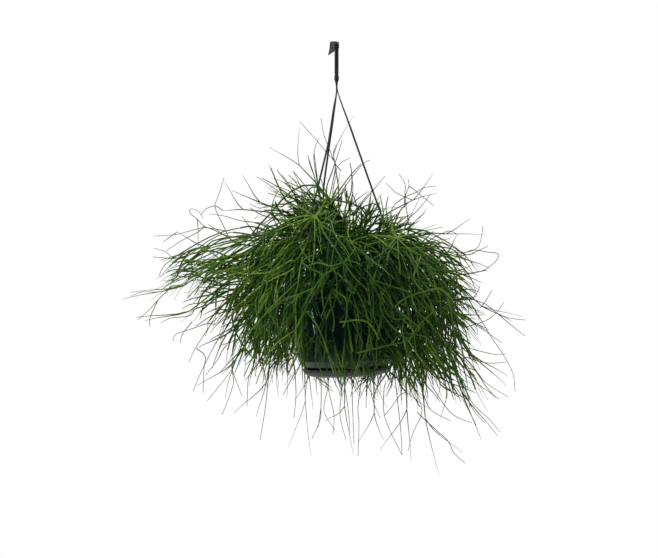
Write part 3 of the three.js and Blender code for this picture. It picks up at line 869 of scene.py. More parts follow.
def stem_line(stem, rng):
    """Points along the stem, its girth there, how far along its segment each point is, and how far out in the
    crown for its painted shade.
    """
    curves = curves_of(stem, rng)
    thick = stem["thick"] * (1.0 if "curves" in stem else SLENDER)
    runs, girths = [], []
    for i, controls in enumerate(curves):
        runs.append(bezier(controls, RINGS_AT))
        narrow = 1 - (1 - stem.get("slim", 1.0)) * (i + RINGS_AT) / len(curves)
        girths.append(np.interp(RINGS_AT, *GIRTH_AT) * thick * narrow)
    if not stem["arch"]:
        girths[0][0] *= NECK
    end = np.asarray(curves[-1][3], float)
    way = normed(end - np.asarray(curves[-1][2], float))
    runs.append(np.array([end, end + way * thick * CAP]))
    girths.append(girths[-1][-1] * np.array(CAP_GIRTHS))
    line, girth = np.concatenate(runs), np.concatenate(girths)
    along_it = np.concatenate([RINGS_AT] * len(curves) + [[1.0, 1.0]])
    out, _, _, depth = crown_place(line)
    # painted shade: how far out in the crown a point lies, with depth counting less, sets how dark its colour
    # is made
    shade_out = np.sqrt(out**2 - (1 - FRONT_SHADE_SHARE**2) * ((depth - HUB[1]) / CROWN_DEEP) ** 2)
    if "slim" not in stem:
        thin, thinner = np.clip((out - THIN_FROM) / 0.25, 0, 1), np.clip((out - THINNER_FROM) / 0.4, 0, 1)
        girth *= 1 - 0.45 * thin - 0.2 * thinner
    if "slim" not in stem and len(stem["end"]["touch"]) == 1:
        last = slice(-len(RINGS_AT) - 2, None)
        girth[last] *= 1 - TAPER * along_it[last] ** 1.3 * np.clip((out[-1] - TAPER_FROM) / 0.2, 0, 1)
    return line, girth, along_it, shade_out, end + way * girth[-2] * APEX


def stem_mesh(name, own, rng):
    """One mesh of all these stems. Its colour attribute holds each stem's tone, the way along the segment,
    how far out in the crown it is, which sets its painted shade, and how near its tip."""
    parts, quads, caps, marks = [], [], [], []
    count = 0
    for stem in own:
        line, girth, along_it, shade_out, apex = stem_line(stem, rng)
        made, faces = tube(line, girth, STEM_SIDES)
        parts += [made, apex[None]]
        quads.append(faces + count)
        top = count + len(made)
        ring = top - STEM_SIDES + np.arange(STEM_SIDES)
        caps.append(np.stack([ring, np.roll(ring, -1), np.full(STEM_SIDES, top)], 1))
        tip = np.zeros(len(line))
        tip[-len(TIP_FADE) :] = TIP_FADE
        tone = np.full(len(line), stem["tone"]) + rng.normal(0, TONE_PLAY)
        mark = np.repeat(np.stack([tone, along_it, np.clip(shade_out / 2, 0, 1), tip], 1), STEM_SIDES, 0)
        marks += [mark, mark[-1:]]
        count = top + 1
    mesh = bpy.data.meshes.new(name)
    faces = [face for block in quads + caps for face in block.tolist()]
    mesh.from_pydata(placed(np.concatenate(parts)), [], faces)
    mesh.polygons.foreach_set("use_smooth", np.ones(len(faces), bool))
    layer = mesh.color_attributes.new("stem", "FLOAT_COLOR", "POINT")
    layer.data.foreach_set("color", np.concatenate(marks).astype(np.float32).ravel())
    return mesh


# ---- Materials ----
class Nodes:
    """Adds nodes to a tree, each with values or links for its sockets."""

    def __init__(self, tree):
        self.tree = tree

    def add(self, kind, values=None, **settings):
        node = self.tree.nodes.new(kind)
        for key, value in settings.items():
            setattr(node, key, value)
        for key, value in (values or {}).items():
            socket = node.inputs[key]
            if isinstance(value, bpy.types.NodeSocket):
                self.tree.links.new(value, socket)
            else:
                socket.default_value = value
        return node

    def spread(self, value, low, high, start=0.0, stop=1.0):
        values = {"Value": value, "From Min": low, "From Max": high, "To Min": start, "To Max": stop}
        return self.add("ShaderNodeMapRange", values).outputs[0]


class Finish(Nodes):
    """A Principled material built from named nodes on the object's own coordinates."""

    def __init__(self, name, **fixed):
        self.material = bpy.data.materials.new(name)
        self.material.use_nodes = True
        super().__init__(self.material.node_tree)
        self.tree.nodes.clear()
        values = {key.replace("_", " "): value for key, value in fixed.items()}
        self.shader = self.add("ShaderNodeBsdfPrincipled", values)
        self.add("ShaderNodeOutputMaterial", {"Surface": self.shader.outputs["BSDF"]})
        self.place = self.add("ShaderNodeTexCoord").outputs["Object"]

    def noise(self, scale, detail=3.0, rough=0.55, stretch=None):
        place = self.place
        if stretch:
            place = self.add("ShaderNodeMapping", {"Vector": place, "Scale": stretch}).outputs[0]
        values = {"Vector": place, "Scale": scale, "Detail": detail, "Roughness": rough}
        return self.add("ShaderNodeTexNoise", values).outputs[0]

    def cells(self, scale):
        return self.add("ShaderNodeTexVoronoi", {"Vector": self.place, "Scale": scale}).outputs["Distance"]

    def marks(self, name):
        return self.add("ShaderNodeAttribute", attribute_name=name).outputs

    def ramp(self, value, *stops):
        node = self.add("ShaderNodeValToRGB", {"Fac": value})
        marks = node.color_ramp.elements
        while len(marks) < len(stops):
            marks.new(0.5)
        for mark, (at, colour) in zip(marks, stops):
            mark.position, mark.color = at, (*colour, 1)
        return node.outputs[0]

    def mix(self, share, a, b, blend="MIX"):
        a, b = ((*value, 1) if isinstance(value, tuple) else value for value in (a, b))
        values = {0: share, 6: a, 7: b}
        return self.add("ShaderNodeMix", values, data_type="RGBA", blend_type=blend).outputs[2]

    def sum(self, operation, a, b):
        return self.add("ShaderNodeMath", {0: a, 1: b}, operation=operation).outputs[0]

    def bumps(self, height, far, strength, below=None):
        values = {"Height": height, "Distance": far, "Strength": strength}
        if below is not None:
            values["Normal"] = below
        return self.add("ShaderNodeBump", values).outputs[0]

    def driven(self, **sockets):
        """The material, once these sockets of its shader are linked."""
        for name, value in sockets.items():
            self.tree.links.new(value, self.shader.inputs[name.replace("_", " ")])
        return self.material


def hanger_finish():
    f = Finish("hanger_plastic", IOR=1.49, Specular_IOR_Level=0.2)
    mottle = f.noise(140, 4)
    edge = f.spread(f.add("ShaderNodeNewGeometry").outputs["Pointiness"], 0.5, 0.6)
    colour = f.ramp(mottle, (0.3, (0.0042, 0.0062, 0.0076)), (0.7, (0.0085, 0.0115, 0.0135)))
    colour = f.mix(edge, colour, (0.019, 0.0235, 0.026))
    rough = f.spread(mottle, 0.3, 0.7, 0.42, 0.58)
    return f.driven(Base_Color=colour, Roughness=rough, Normal=f.bumps(f.noise(1600, 2), 0.00006, 0.5))


def pot_finish():
    """Smooth dark plastic with dust and the marks of drips on it."""
    f = Finish("pot_plastic", IOR=1.5, Specular_IOR_Level=0.32)
    dust = f.noise(420, 4, 0.7)
    drips = f.noise(60, 3, 0.6, (1.0, 1.0, 0.12))
    colour = f.ramp(f.noise(24, 4), (0.3, (0.0005, 0.0128, 0.0082)), (0.75, (0.0014, 0.0172, 0.0124)))
    marks = f.spread(f.sum("MULTIPLY", dust, drips), 0.32, 0.5, 0.0, 0.2)
    colour = f.mix(marks, colour, (0.02, 0.026, 0.026))
    rough = f.sum("ADD", f.spread(drips, 0.35, 0.7, 0.12, 0.2), f.sum("MULTIPLY", marks, 0.5))
    normal = f.bumps(f.noise(90, 2), 0.0003, 0.2, f.bumps(dust, 0.00004, 0.3))
    return f.driven(Base_Color=colour, Roughness=rough, Normal=normal)


def saucer_finish():
    """Paler plastic with a little lime."""
    f = Finish("saucer_plastic", IOR=1.49, Specular_IOR_Level=0.35)
    cloud = f.noise(35, 4)
    colour = f.ramp(cloud, (0.3, (0.0165, 0.0215, 0.0185)), (0.72, (0.026, 0.032, 0.0275)))
    lime = f.spread(f.noise(210, 5, 0.7), 0.56, 0.74, 0.0, 0.35)
    colour = f.mix(lime, colour, (0.055, 0.064, 0.056))
    rough = f.spread(cloud, 0.3, 0.7, 0.4, 0.56)
    return f.driven(Base_Color=colour, Roughness=rough, Normal=f.bumps(f.noise(900, 3), 0.00008, 0.5))


def soil_finish():
    f = Finish("potting_soil", IOR=1.4)
    crumb = f.noise(380, 6, 0.7)
    dark, brown, pale = (0.006, 0.0042, 0.003), (0.022, 0.0145, 0.009), (0.06, 0.042, 0.027)
    colour = f.ramp(crumb, (0.32, dark), (0.55, brown), (0.78, pale))
    colour = f.mix(f.spread(f.noise(95, 3), 0.4, 0.7, 0.0, 0.5), colour, (0.012, 0.009, 0.0065))
    rough = f.spread(crumb, 0.3, 0.8, 0.75, 0.98)
    return f.driven(Base_Color=colour, Roughness=rough, Normal=f.bumps(crumb, 0.0012, 0.9))


def grit_finish():
    """Bark chips and perlite, told apart by an attribute."""
    f = Finish("bark_and_perlite", IOR=1.45)
    grain = f.noise(1300, 5, 0.7)
    bark = f.ramp(grain, (0.3, (0.016, 0.009, 0.005)), (0.75, (0.095, 0.052, 0.028)))
    perlite = f.ramp(grain, (0.25, (0.36, 0.34, 0.3)), (0.7, (0.72, 0.7, 0.66)))
    colour = f.mix(f.marks("kind")["Fac"], bark, perlite)
    rough = f.spread(grain, 0.3, 0.8, 0.7, 0.95)
    return f.driven(Base_Color=colour, Roughness=rough, Normal=f.bumps(grain, 0.0004, 0.8))


def stem_finish():
    """Waxy green skin: each stem its own green, with painted shade that darkens it inside the crown and dulls
    the thin outer ones, fresh where it ends, with a pale ring at each joint and fine dots of areoles."""
    f = Finish("waxy_stems", IOR=1.45, Specular_IOR_Level=0.15)
    marks = f.marks("stem")
    tone, way, out = f.add("ShaderNodeSeparateColor", {"Color": marks["Color"]}).outputs
    grain = f.noise(1500, 3)
    shade = f.sum("ADD", tone, f.spread(f.noise(75, 3), 0.3, 0.7, -0.16, 0.16))
    colour = f.ramp(
        shade,
        (0.0, (0.0062, 0.032, 0.0015)),
        (0.35, (0.0225, 0.076, 0.0038)),
        (0.7, (0.063, 0.137, 0.0075)),
        (1.0, (0.155, 0.24, 0.024)),
    )
    # painted shade: stems deeper inside the crown are given a darker colour, those further out keep their own
    crown_shade = f.ramp(out, (0.26, (0.11, 0.38, 0.26)), (0.42, (0.34, 0.56, 0.44)), (0.56, (1.0, 1.0, 1.0)))
    colour = f.mix(1.0, colour, crown_shade, "MULTIPLY")
    # painted shade: the thin stems far out in the crown, lit from behind, are dulled towards a dark olive
    backlit_shade = f.spread(out, 0.62, 0.78)
    joint = f.spread(way, 0.0, 0.06, 0.3, 0.0)
    dots = f.spread(f.cells(420), 0.1, 0.2, 0.25, 0.0)
    young = f.spread(marks["Alpha"], 0.1, 1.0, 0.0, 0.4)
    # painted shade on the backlit outer stems
    colour = f.mix(backlit_shade, colour, (0.03, 0.046, 0.018))
    colour = f.mix(joint, colour, (0.05, 0.06, 0.02))
    colour = f.mix(dots, colour, (0.09, 0.13, 0.05))
    colour = f.mix(young, colour, (0.12, 0.165, 0.055))
    rough = f.spread(grain, 0.3, 0.7, 0.36, 0.52)
    return f.driven(Base_Color=colour, Roughness=rough, Normal=f.bumps(grain, 0.00012, 0.5))


# ---- Pot, saucer and soil ----
POT = [  # half of its section: radius and height, as in the solid
    (66, 0), (75, 0), (75, -8), (73.5, -8), (73.5, -1.6), (67.6, -1.6), (55.7, -93), (53.9, -101),
    (49.8, -107.4), (47.5, -109), (38, -109), (38, -116), (36.4, -116), (36.4, -109), (0, -109), (0, -107.4),
    (46.9, -107.4), (48.8, -106.1), (52.3, -100.4), (54.1, -92.8),
]
SAUCER = [
    (47.8, -110.5), (49.3, -110.5), (48.6, -113.6), (45.4, -117.2), (39.4, -119.2), (0, -119.2), (0, -117.7),
    (38.3, -117.7), (38.3, -113.5), (39.8, -113.5), (39.8, -117.4), (44.4, -116), (47.1, -113.1),
]
SOIL_SIDE = [(53.7, -92.7), (51.9, -100.2), (48.5, -105.7), (46.6, -107), (0, -107)]
SOIL_RADIUS = 63.6
WAVES = ((30, 0.9), (12, 0.7), (5, 0.6))  # how long and how high
WAVES_OF_EACH, WAVE_RANGE, CRUMBLE = 7, (-1.6, 1.8), 0.35
GRIT, PERLITE_SHARE, GRIT_CIRCLE = 420, 0.28, 62
PERLITE_SIZES, BARK_SIZES, BARK_STRETCH = (0.7, 1.5), (0.9, 2.6), (0.35, 1.3)
ROUND_SIDES, SOIL_SIDES, BORE_SIDES, KNOB_SIDES, STRAND_SIDES = 144, 120, 24, 36, 12
DRAINS = (22, -108, 4)  # how far from the middle, how high, and their radius


def build_pot(material):
    points, faces = turned(rounded(POT, 0.45), ROUND_SIDES)
    bores = [((*around(azimuth, STRAND_CIRCLE), -1), 1.7, 2.5) for azimuth, _ in STRANDS.values()]
    circle, height, radius = DRAINS
    bores += [((*around(45 + 90 * k, circle), height), radius, 4) for k in range(4)]
    mesh = without(mesh_of("pot_shell", placed(points), faces), bores)
    new_piece("pot_shell", mesh, material, "pot", "pot")


def build_saucer(material):
    points, faces = turned(rounded(SAUCER, 0.4), ROUND_SIDES)
    new_piece("drip_saucer", mesh_of("drip_saucer", placed(points), faces), material, "saucer", "saucer")


def build_soil(material):
    """A crumbly surface, with the sides that the pot hides kept plain."""
    radii = np.concatenate([[0.0], np.linspace(1.6, SOIL_RADIUS, 42)])
    profile = [(float(r), SOIL_Z) for r in radii] + [(64.1, SOIL_Z - 1.2)] + SOIL_SIDE
    points, faces = turned(profile, SOIL_SIDES)
    points = np.array(points)
    top = points[:, 2] > SOIL_Z - 0.5
    x, y = points[top, 0], points[top, 1]
    waves = np.zeros(top.sum())
    for long, high in WAVES:
        for _ in range(WAVES_OF_EACH):
            turn, start = soil_rng.uniform(0, FULL_TURN, 2)
            waves += high / 3 * np.sin((x * math.cos(turn) + y * math.sin(turn)) * FULL_TURN / long + start)
    points[top, 2] += np.clip(waves, *WAVE_RANGE) * np.clip((64 - np.hypot(x, y)) / 3, 0, 1)
    points[top, 2] += soil_rng.uniform(-CRUMBLE, CRUMBLE, top.sum())
    new_piece("soil_bed", mesh_of("soil_bed", placed(points), faces), material, "soil", "soil")


def build_grit(material):
    """Chips of bark and grains of perlite pressed into the soil."""
    form = bmesh.new()
    kinds = []
    for _ in range(GRIT):
        r, turn = GRIT_CIRCLE * math.sqrt(soil_rng.random()), soil_rng.uniform(0, FULL_TURN)
        white = soil_rng.random() < PERLITE_SHARE
        size = soil_rng.uniform(*(PERLITE_SIZES if white else BARK_SIZES))
        made = bmesh.ops.create_icosphere(form, subdivisions=1, radius=1)["verts"]
        stretch = np.ones(3) if white else soil_rng.uniform(*BARK_STRETCH, 3)
        spin, _ = np.linalg.qr(soil_rng.normal(0, 1, (3, 3)))
        for v in made:
            p = spin @ (np.array(v.co) * stretch * size * soil_rng.uniform(0.75, 1.15))
            v.co = p + np.array([r * math.cos(turn), r * math.sin(turn), SOIL_Z + 0.5])
        kinds += [float(white)] * len(made)
    for v, p in zip(form.verts, placed([tuple(v.co) for v in form.verts])):
        v.co = p
    mesh = finished("soil_grit", form, 0.5)
    mesh.attributes.new("kind", "FLOAT", "POINT").data.foreach_set("value", np.array(kinds, np.float32))
    new_piece("soil_grit", mesh, material, "soil")


# ---- Hook and strands ----
def moulded(form, outline, wide, soft, right=None):
    """A flat moulding in the hook's own plane, with softened edges, added to form. Its right face can have an
    outline of its own."""
    across = np.array([-math.sin(HOOK_TURN), -math.cos(HOOK_TURN), 0])
    aside = np.cross(across, (0, 0, 1))
    points = []
    for half, face in ((-wide / 2, right or outline), (wide / 2, outline)):
        points += [(np.array([*HUB[:2], up]) + across * a + aside * half) / 1000 for a, up in face]
    faces = add_faces(form, points, prism(len(outline)))
    edges = list(dict.fromkeys(edge for face in faces for edge in face.edges))
    bmesh.ops.recalc_face_normals(form, faces=faces)
    bmesh.ops.bevel(form, geom=edges, offset=soft / 1000, segments=2, profile=0.6, affect="EDGES")


def build_hook(material):
    half, arch, knob, bottom = 1.4, 14.2, 2.6, HUB[2]
    outer, inner = arch + half, arch - half
    form = bmesh.new()
    over = [
        (-half, -4), (-half, 1.4), (-0.9, 2.6), (0.2, 3.4), (inner - 1, 2.4), (outer - 0.8, 1),
        (outer - 0.2, 0.2), (outer, -0.8), (outer + 1.4, -7.5),
    ]
    under = [
        (inner + 1.3, -8.3), (inner + 0.1, -4.2), (inner, -3.2), (inner - 0.7, -1.3), (inner - 2.4, 0),
        (half + 2.8, 0), (half + 0.9, -1.0), (half, -2.6), (half, -4),
    ]
    point, corner = [(outer + 6, -14.6), (outer + 5.2, -14.9)], [(outer + 3.2, -10.3), (inner + 3.35, -10.4)]
    moulded(form, over + point + under, 5.4, 0.3, over + corner + under)
    for out, low, high, wide, soft in ((half, -33.4, -1, 4.2, 0.35), (half + 0.1, -31.4, -30.8, 4.4, 0.15)):
        moulded(form, [(-out, low), (out, low), (out, high), (-out, high)], wide, soft)
    rib = [(half - 0.3, -29.5), (half + 0.35, -28.5), (half + 0.35, -6), (half - 0.3, -4)]
    moulded(form, rib, 0.9, 0.2)
    profile = [
        (0, -33.2), (1.5, -33.2), (1.9, -33.8), (2.0, -33.9), (knob, -35.2), (knob + 0.1, -37.4),
        (knob, -39.4), (knob - 0.5, bottom), (1.9, bottom), (1.4, bottom - 2.6), (1.0, bottom - 5.6),
        (0, bottom - 5.8),
    ]
    points, faces = turned(rounded(profile, 0.3), KNOB_SIDES)
    add_faces(form, [(np.array(p) + np.array([*HUB[:2], 0])) / 1000 for p in points], faces)
    new_piece("hook_moulding", finished("hook_moulding", form, 0.5), material, "hanger", "hook")


STOP_Z, STOP_OUT, STOP_TALL = 3.2, 1.1, 1.3  # the stop above the rim
SOFT_BEND, LEG_STEP = 9.0, 4
BARB = [(0.0, 1.1), (0.0, 2.2), (-0.7, 2.15), (-2.0, 1.5), (-3.25, 0.8), (-3.5, 0.1)]  # height and radius


def build_strand(name, azimuth, bend, material):
    """A long thin leg with soft bends, a stop above the rim and a barb below it."""
    path = np.array(strand_path(azimuth, bend))
    thick = (0.6, 0.6, *[STRAND_RADIUS] * 4)
    line, radii = [], []
    for i, (p, q) in enumerate(zip(path, path[1:])):
        before, after = path[max(i - 1, 0)], path[min(i + 2, len(path) - 1)]
        long = np.linalg.norm(q - p)
        soft = min(SOFT_BEND, long / 3)
        steps = max(int(long / LEG_STEP), 2)
        t = np.arange(steps) / steps
        line.append(bezier([p, p + normed(q - before) * soft, q - normed(after - p) * soft, q], t))
        radii.append(thick[i] + (thick[i + 1] - thick[i]) * t)
    line, radii = np.concatenate(line), np.concatenate(radii)
    radii = radii + STOP_OUT * np.exp(-(((line[:, 2] - STOP_Z) / STOP_TALL) ** 2))
    below = [path[-1] + np.array([0, 0, z - 0.01 * k]) for k, (z, _) in enumerate(BARB)]
    line = np.concatenate([line, below])
    radii = np.concatenate([radii, [r for _, r in BARB]])
    made, quads = tube(line, radii, STRAND_SIDES)
    faces = [list(map(int, q)) for q in quads]
    ends = list(range(len(made)))
    faces += [ends[:STRAND_SIDES][::-1], ends[-STRAND_SIDES:]]
    new_piece(name + "_leg", mesh_of(name, placed(made), faces, 0.9), material, "hanger", name)


# ---- Sprigs that stand out of the crown ----
# Each row runs from the crown outwards: first how much nearer (-) or further its tip lies than its foot, in
# millimetres, then x and y of each place in the picture.
SPRIGS = [
    (-10, 330, 194, 334, 176, 335, 163, 326, 152, 317, 141, 300, 122),
    (12, 335, 163, 329, 148, 324, 135, 321, 118), (-8, 335, 163, 339, 151, 342, 140),
    (8, 318, 190, 314, 161, 315, 148, 319, 138), (-12, 317, 190, 314, 176, 310, 165, 308, 155),
    (15, 283, 197, 277, 184, 273, 174, 269, 165), (-10, 285, 196, 268, 184, 257, 177),
    (10, 300, 198, 289, 184, 282, 175), (-15, 306, 196, 297, 179, 293, 171),
    (20, 320, 200, 303, 187, 288, 175), (14, 331, 190, 338, 166, 350, 158),
    (-10, 339, 192, 347, 184, 352, 177, 363, 164, 370, 160), (8, 352, 200, 353, 186, 351, 174),
    (-14, 360, 204, 370, 194, 375, 188, 385, 176), (8, 406, 218, 405, 197, 405, 184, 399, 174),
    (-10, 405, 197, 409, 186, 408, 179), (12, 405, 197, 395, 192, 386, 183),
    (-12, 405, 197, 417, 192, 423, 188, 436, 186), (16, 417, 192, 434, 206),
    (-12, 407, 220, 416, 212, 423, 204, 430, 195), (10, 418, 232, 428, 230, 443, 227),
    (-10, 409, 226, 425, 213), (18, 431, 239, 439, 235, 449, 231, 457, 234),
    (-16, 455, 258, 464, 253, 474, 250, 480, 243, 483, 226), (10, 474, 250, 488, 246),
    (-14, 474, 250, 487, 252, 498, 254, 495, 262, 482, 271, 469, 273), (12, 469, 273, 486, 270),
    (10, 430, 244, 443, 243), (-10, 464, 253, 466, 262),
    (14, 229, 238, 226, 231, 219, 217, 215, 206, 219, 194, 224, 178), (-10, 215, 206, 206, 209, 201, 215),
    (10, 242, 238, 224, 235, 214, 230, 204, 226, 197, 219, 190, 213, 191, 209, 198, 211, 203, 218),
    (-12, 219, 231, 209, 228, 201, 228, 186, 232, 173, 235, 154, 236), (10, 174, 236, 163, 242),
    (8, 194, 253, 181, 255, 172, 257, 166, 252, 154, 248), (-10, 172, 258, 153, 257),
    (12, 171, 259, 164, 266, 159, 276), (-14, 198, 232, 181, 241, 166, 251), (10, 198, 227, 198, 248),
    (-12, 258, 222, 242, 221, 224, 216, 209, 214), (12, 273, 206, 260, 208, 250, 204),
    (-10, 172, 286, 166, 290, 155, 292, 142, 292, 131, 296), (12, 178, 280, 163, 281),
    (-12, 168, 290, 158, 300, 150, 309, 138, 320), (10, 154, 304, 150, 318, 150, 327),
    (-12, 206, 324, 191, 329, 176, 334, 173, 341), (10, 187, 328, 182, 335, 180, 343),
    (-8, 189, 316, 171, 318, 161, 323), (12, 212, 323, 204, 335, 195, 349, 189, 362),
    (-14, 224, 331, 217, 341, 203, 368, 193, 391), (10, 222, 351, 218, 359, 206, 375),
    (-10, 205, 356, 204, 369, 203, 393), (14, 234, 346, 232, 356, 232, 369, 207, 401),
    (-12, 232, 369, 233, 385, 222, 415), (10, 232, 369, 242, 396), (-10, 248, 382, 247, 406),
    (14, 269, 369, 268, 382, 265, 410, 260, 440), (-14, 297, 377, 296, 395, 294, 418),
    (10, 293, 377, 283, 395), (-12, 320, 372, 321, 382, 321, 408, 320, 420, 312, 439),
    (10, 321, 411, 318, 428), (14, 328, 372, 328, 387, 324, 411, 335, 430),
    (-12, 328, 379, 329, 392, 334, 415, 333, 434), (10, 342, 370, 342, 387, 340, 415, 346, 440),
    (-14, 344, 376, 348, 408, 350, 433), (12, 352, 372, 352, 387, 353, 418, 354, 444),
    (-14, 362, 376, 358, 408, 359, 423, 358, 456), (10, 367, 380, 366, 408),
    (-10, 369, 376, 372, 397, 380, 418), (12, 384, 390, 385, 418, 402, 455),
    (-12, 395, 380, 398, 405, 401, 433, 402, 455), (14, 413, 385, 421, 405, 421, 416, 413, 433, 408, 451),
    (-16, 421, 416, 436, 430, 448, 441, 454, 453, 465, 463), (10, 400, 395, 393, 405, 385, 415),
    (-12, 425, 400, 431, 410, 451, 421), (14, 467, 392, 474, 405, 490, 420, 500, 432),
    (-12, 464, 390, 472, 408, 485, 423), (10, 459, 392, 471, 415, 476, 425),
    (-10, 436, 388, 451, 413, 472, 423), (14, 477, 372, 486, 383, 508, 397),
    (-12, 469, 377, 482, 387, 499, 399), (16, 472, 304, 480, 318, 490, 335, 504, 356, 513, 374, 515, 391),
    (-10, 472, 349, 492, 354, 506, 354), (12, 469, 359, 487, 363, 506, 362),
    (-16, 472, 300, 485, 304, 497, 313, 509, 318, 526, 320), (12, 500, 316, 511, 325, 525, 336),
    (-10, 469, 327, 485, 321, 496, 313, 504, 302), (10, 475, 296, 480, 286), (-10, 485, 302, 492, 290),
    (12, 474, 323, 485, 331, 502, 343),
]
LIMBS = [  # stouter ones, at the left, on top, at the right and low down
    (10, 262, 236, 244, 239, 228, 243, 211, 248, 200, 252, 186, 256),
    (-8, 250, 252, 232, 257, 216, 259, 200, 260, 186, 261, 171, 262),
    (6, 226, 262, 212, 259, 199, 262, 185, 259, 171, 257),
    (-12, 246, 266, 228, 269, 211, 272, 197, 272, 185, 278, 172, 283),
    (8, 240, 274, 222, 271, 206, 279, 197, 288, 188, 297), (-6, 238, 260, 222, 263, 207, 264, 193, 268),
    (12, 230, 268, 214, 275, 203, 285), (-10, 205, 271, 193, 277, 182, 285, 172, 287),
    (8, 217, 257, 207, 250, 197, 248), (-10, 302, 214, 290, 204, 283, 195, 277, 182, 271, 168),
    (10, 310, 212, 299, 201, 289, 186, 277, 170), (-6, 306, 210, 293, 198, 278, 187, 262, 178),
    (12, 314, 206, 303, 192, 292, 178), (8, 318, 204, 311, 193, 303, 183, 294, 172),
    (-8, 321, 203, 317, 187, 313, 172, 308, 156), (6, 322, 204, 318, 184, 316, 168, 314, 153),
    (-12, 318, 208, 309, 196, 300, 188, 288, 182), (10, 312, 214, 298, 207, 284, 199, 268, 193),
    (-10, 300, 218, 286, 212, 271, 207, 257, 203), (6, 292, 222, 276, 219, 262, 215, 250, 208),
    (-4, 326, 200, 327, 186, 332, 172, 335, 163), (8, 330, 204, 338, 192, 350, 176, 361, 164),
    (-8, 346, 206, 351, 192, 352, 176, 350, 163), (4, 334, 203, 333, 190, 336, 176),
    (-6, 340, 206, 341, 196, 346, 188), (6, 384, 224, 383, 210, 380, 195),
    (-6, 388, 222, 386, 208, 388, 197), (8, 382, 222, 380, 208, 374, 196),
    (-8, 396, 222, 400, 211, 408, 203), (4, 392, 224, 391, 212, 395, 204),
    (-10, 428, 347, 445, 367, 462, 380, 467, 393, 470, 407),
    (12, 452, 347, 467, 360, 477, 372, 485, 385, 495, 397), (-8, 412, 350, 425, 367, 442, 383, 458, 397),
    (10, 405, 353, 413, 370, 425, 383, 428, 398), (-6, 398, 355, 405, 375, 412, 393, 420, 407),
    (8, 233, 309, 220, 313, 211, 316, 196, 326), (-8, 259, 343, 250, 363, 244, 376),
    (6, 270, 354, 261, 371, 256, 384),
]


LEAD_BACK, OVERSHOT, CROWDED, CLOSE = 6, 1.5, 4, 7  # in pixels, for the joint that a sprig grows from


def pairs(flat):
    return list(zip(flat[::2], flat[1::2]))


def foot_of(fine, places, depth, deep):
    """The joint to lead a stem from, so that it comes up to the first of these places without a kink, with
    its depth, and whether it shows close to that place. deep is what a millimetre of depth counts for against
    a pixel."""
    n = fine.count
    px, py, far = seen(fine.place[:n])
    (x, y), (x_next, y_next) = places[0], places[1]
    long = math.hypot(x_next - x, y_next - y)
    onward = np.array([(x_next - x) / long, (y_next - y) / long, 0])
    off = np.stack([px - x, py - y, (far - depth) * deep], 1) + onward * LEAD_BACK
    score = np.linalg.norm(off, axis=1) + OVERSHOT * np.maximum(off @ onward, 0)
    k = int(np.argmin(score + CROWDED * (fine.children[:n] > 4)))
    return k, far[k], math.hypot(px[k] - x, py[k] - y) < CLOSE


def grow_sprigs(fine, sprigs, radius, tones, slim):
    """Stems through the places above, with their girth at the foot and what is left of it at the tip."""
    rng = fine.rng
    for lean, *flat in sprigs:
        places = pairs(flat)
        k, depth, close = foot_of(fine, places, HUB[1], 0.05)
        places = places[1:] if close else places
        step = lean / len(places)
        run = [sighted(x, y, depth + step * (i + 1) + rng.normal(0, 1.5)) for i, (x, y) in enumerate(places)]
        fine.lead(k, run, radius, float(rng.uniform(*tones)), slim)


# ---- Stems that lie across the front of the crown ----
# Each runs from its head, where it has one, through places in the picture, over the face that the rest of the
# crown makes.
FRONT_OUT = 1.2  # how far out in the crown that face lies
HEAD_LEFT, HEAD_RIGHT, HEAD_LOW = (316, 216), (397, 238), (344, 263)
FRONT = [
    (HEAD_LEFT, [
        (300, 224, 293, 235), (303, 230, 301, 247, 310, 262), (315, 231, 314, 255, 310, 271),
        (319, 224, 321, 242), (323, 226, 341, 237), (326, 236, 337, 251, *HEAD_LOW), (322, 207, 325, 203),
        (325, 224, 346, 220, 356, 222), (297, 222, 278, 232, 269, 252), (304, 216, 284, 221, 266, 229),
        (303, 209, 290, 204, 272, 205),
    ]),
    (HEAD_LOW, [
        (326, 274, 314, 288, 306, 303), (356, 279, 369, 291), (331, 266, 318, 263, 303, 268),
        (352, 254, 362, 251, 377, 252), (346, 278, 357, 292, 364, 306, 369, 325),
    ]),
    ((), [
        (350, 223, 348, 234, 354, 247, 360, 260),
    ]),
    (HEAD_RIGHT, [
        (385, 241, 366, 245), (388, 248, 379, 256), (390, 250, 387, 260), (398, 250, 400, 273),
        (409, 249, 421, 256), (409, 235, 424, 238), (393, 228, 392, 219), (405, 227, 409, 219),
        (379, 236, 361, 238, 350, 243),
    ]),
    ((), [
        (410, 260, 422, 263, 435, 270), (418, 264, 414, 280, 426, 295, 433, 309),
        (440, 289, 419, 293, 404, 299, 395, 307), (375, 283, 390, 286, 410, 293, 426, 309),
        (377, 285, 387, 293, 393, 307), (375, 289, 381, 300, 387, 313, 395, 319, 405, 319),
        (382, 313, 393, 327, 408, 340), (432, 312, 421, 323, 409, 339), (402, 315, 412, 322, 420, 328),
        (408, 340, 390, 345, 372, 349, 358, 353), (401, 334, 413, 334, 426, 337),
        (410, 344, 419, 357, 427, 367), (290, 261, 277, 269, 265, 273, 244, 274),
        (295, 268, 272, 276, 258, 289, 247, 298, 244, 313),
        (290, 271, 267, 282, 252, 293, 239, 305, 228, 319), (300, 294, 284, 300, 269, 312),
        (256, 236, 249, 264, 249, 283), (281, 231, 272, 241, 267, 254), (279, 276, 276, 289, 274, 302),
        (290, 329, 277, 343, 267, 357, 261, 371), (322, 292, 324, 309, 326, 318, 330, 310),
        (315, 322, 324, 341, 334, 374), (357, 320, 367, 322, 373, 328, 379, 339),
        (345, 298, 347, 309, 346, 320, 343, 327), (302, 262, 298, 285, 294, 303, 296, 322),
        (296, 301, 296, 322, 296, 346), (330, 300, 334, 318, 333, 331), (369, 274, 384, 294, 393, 307),
        (309, 268, 322, 275, 318, 288), (277, 300, 262, 318, 247, 334, 233, 341),
    ]),
]


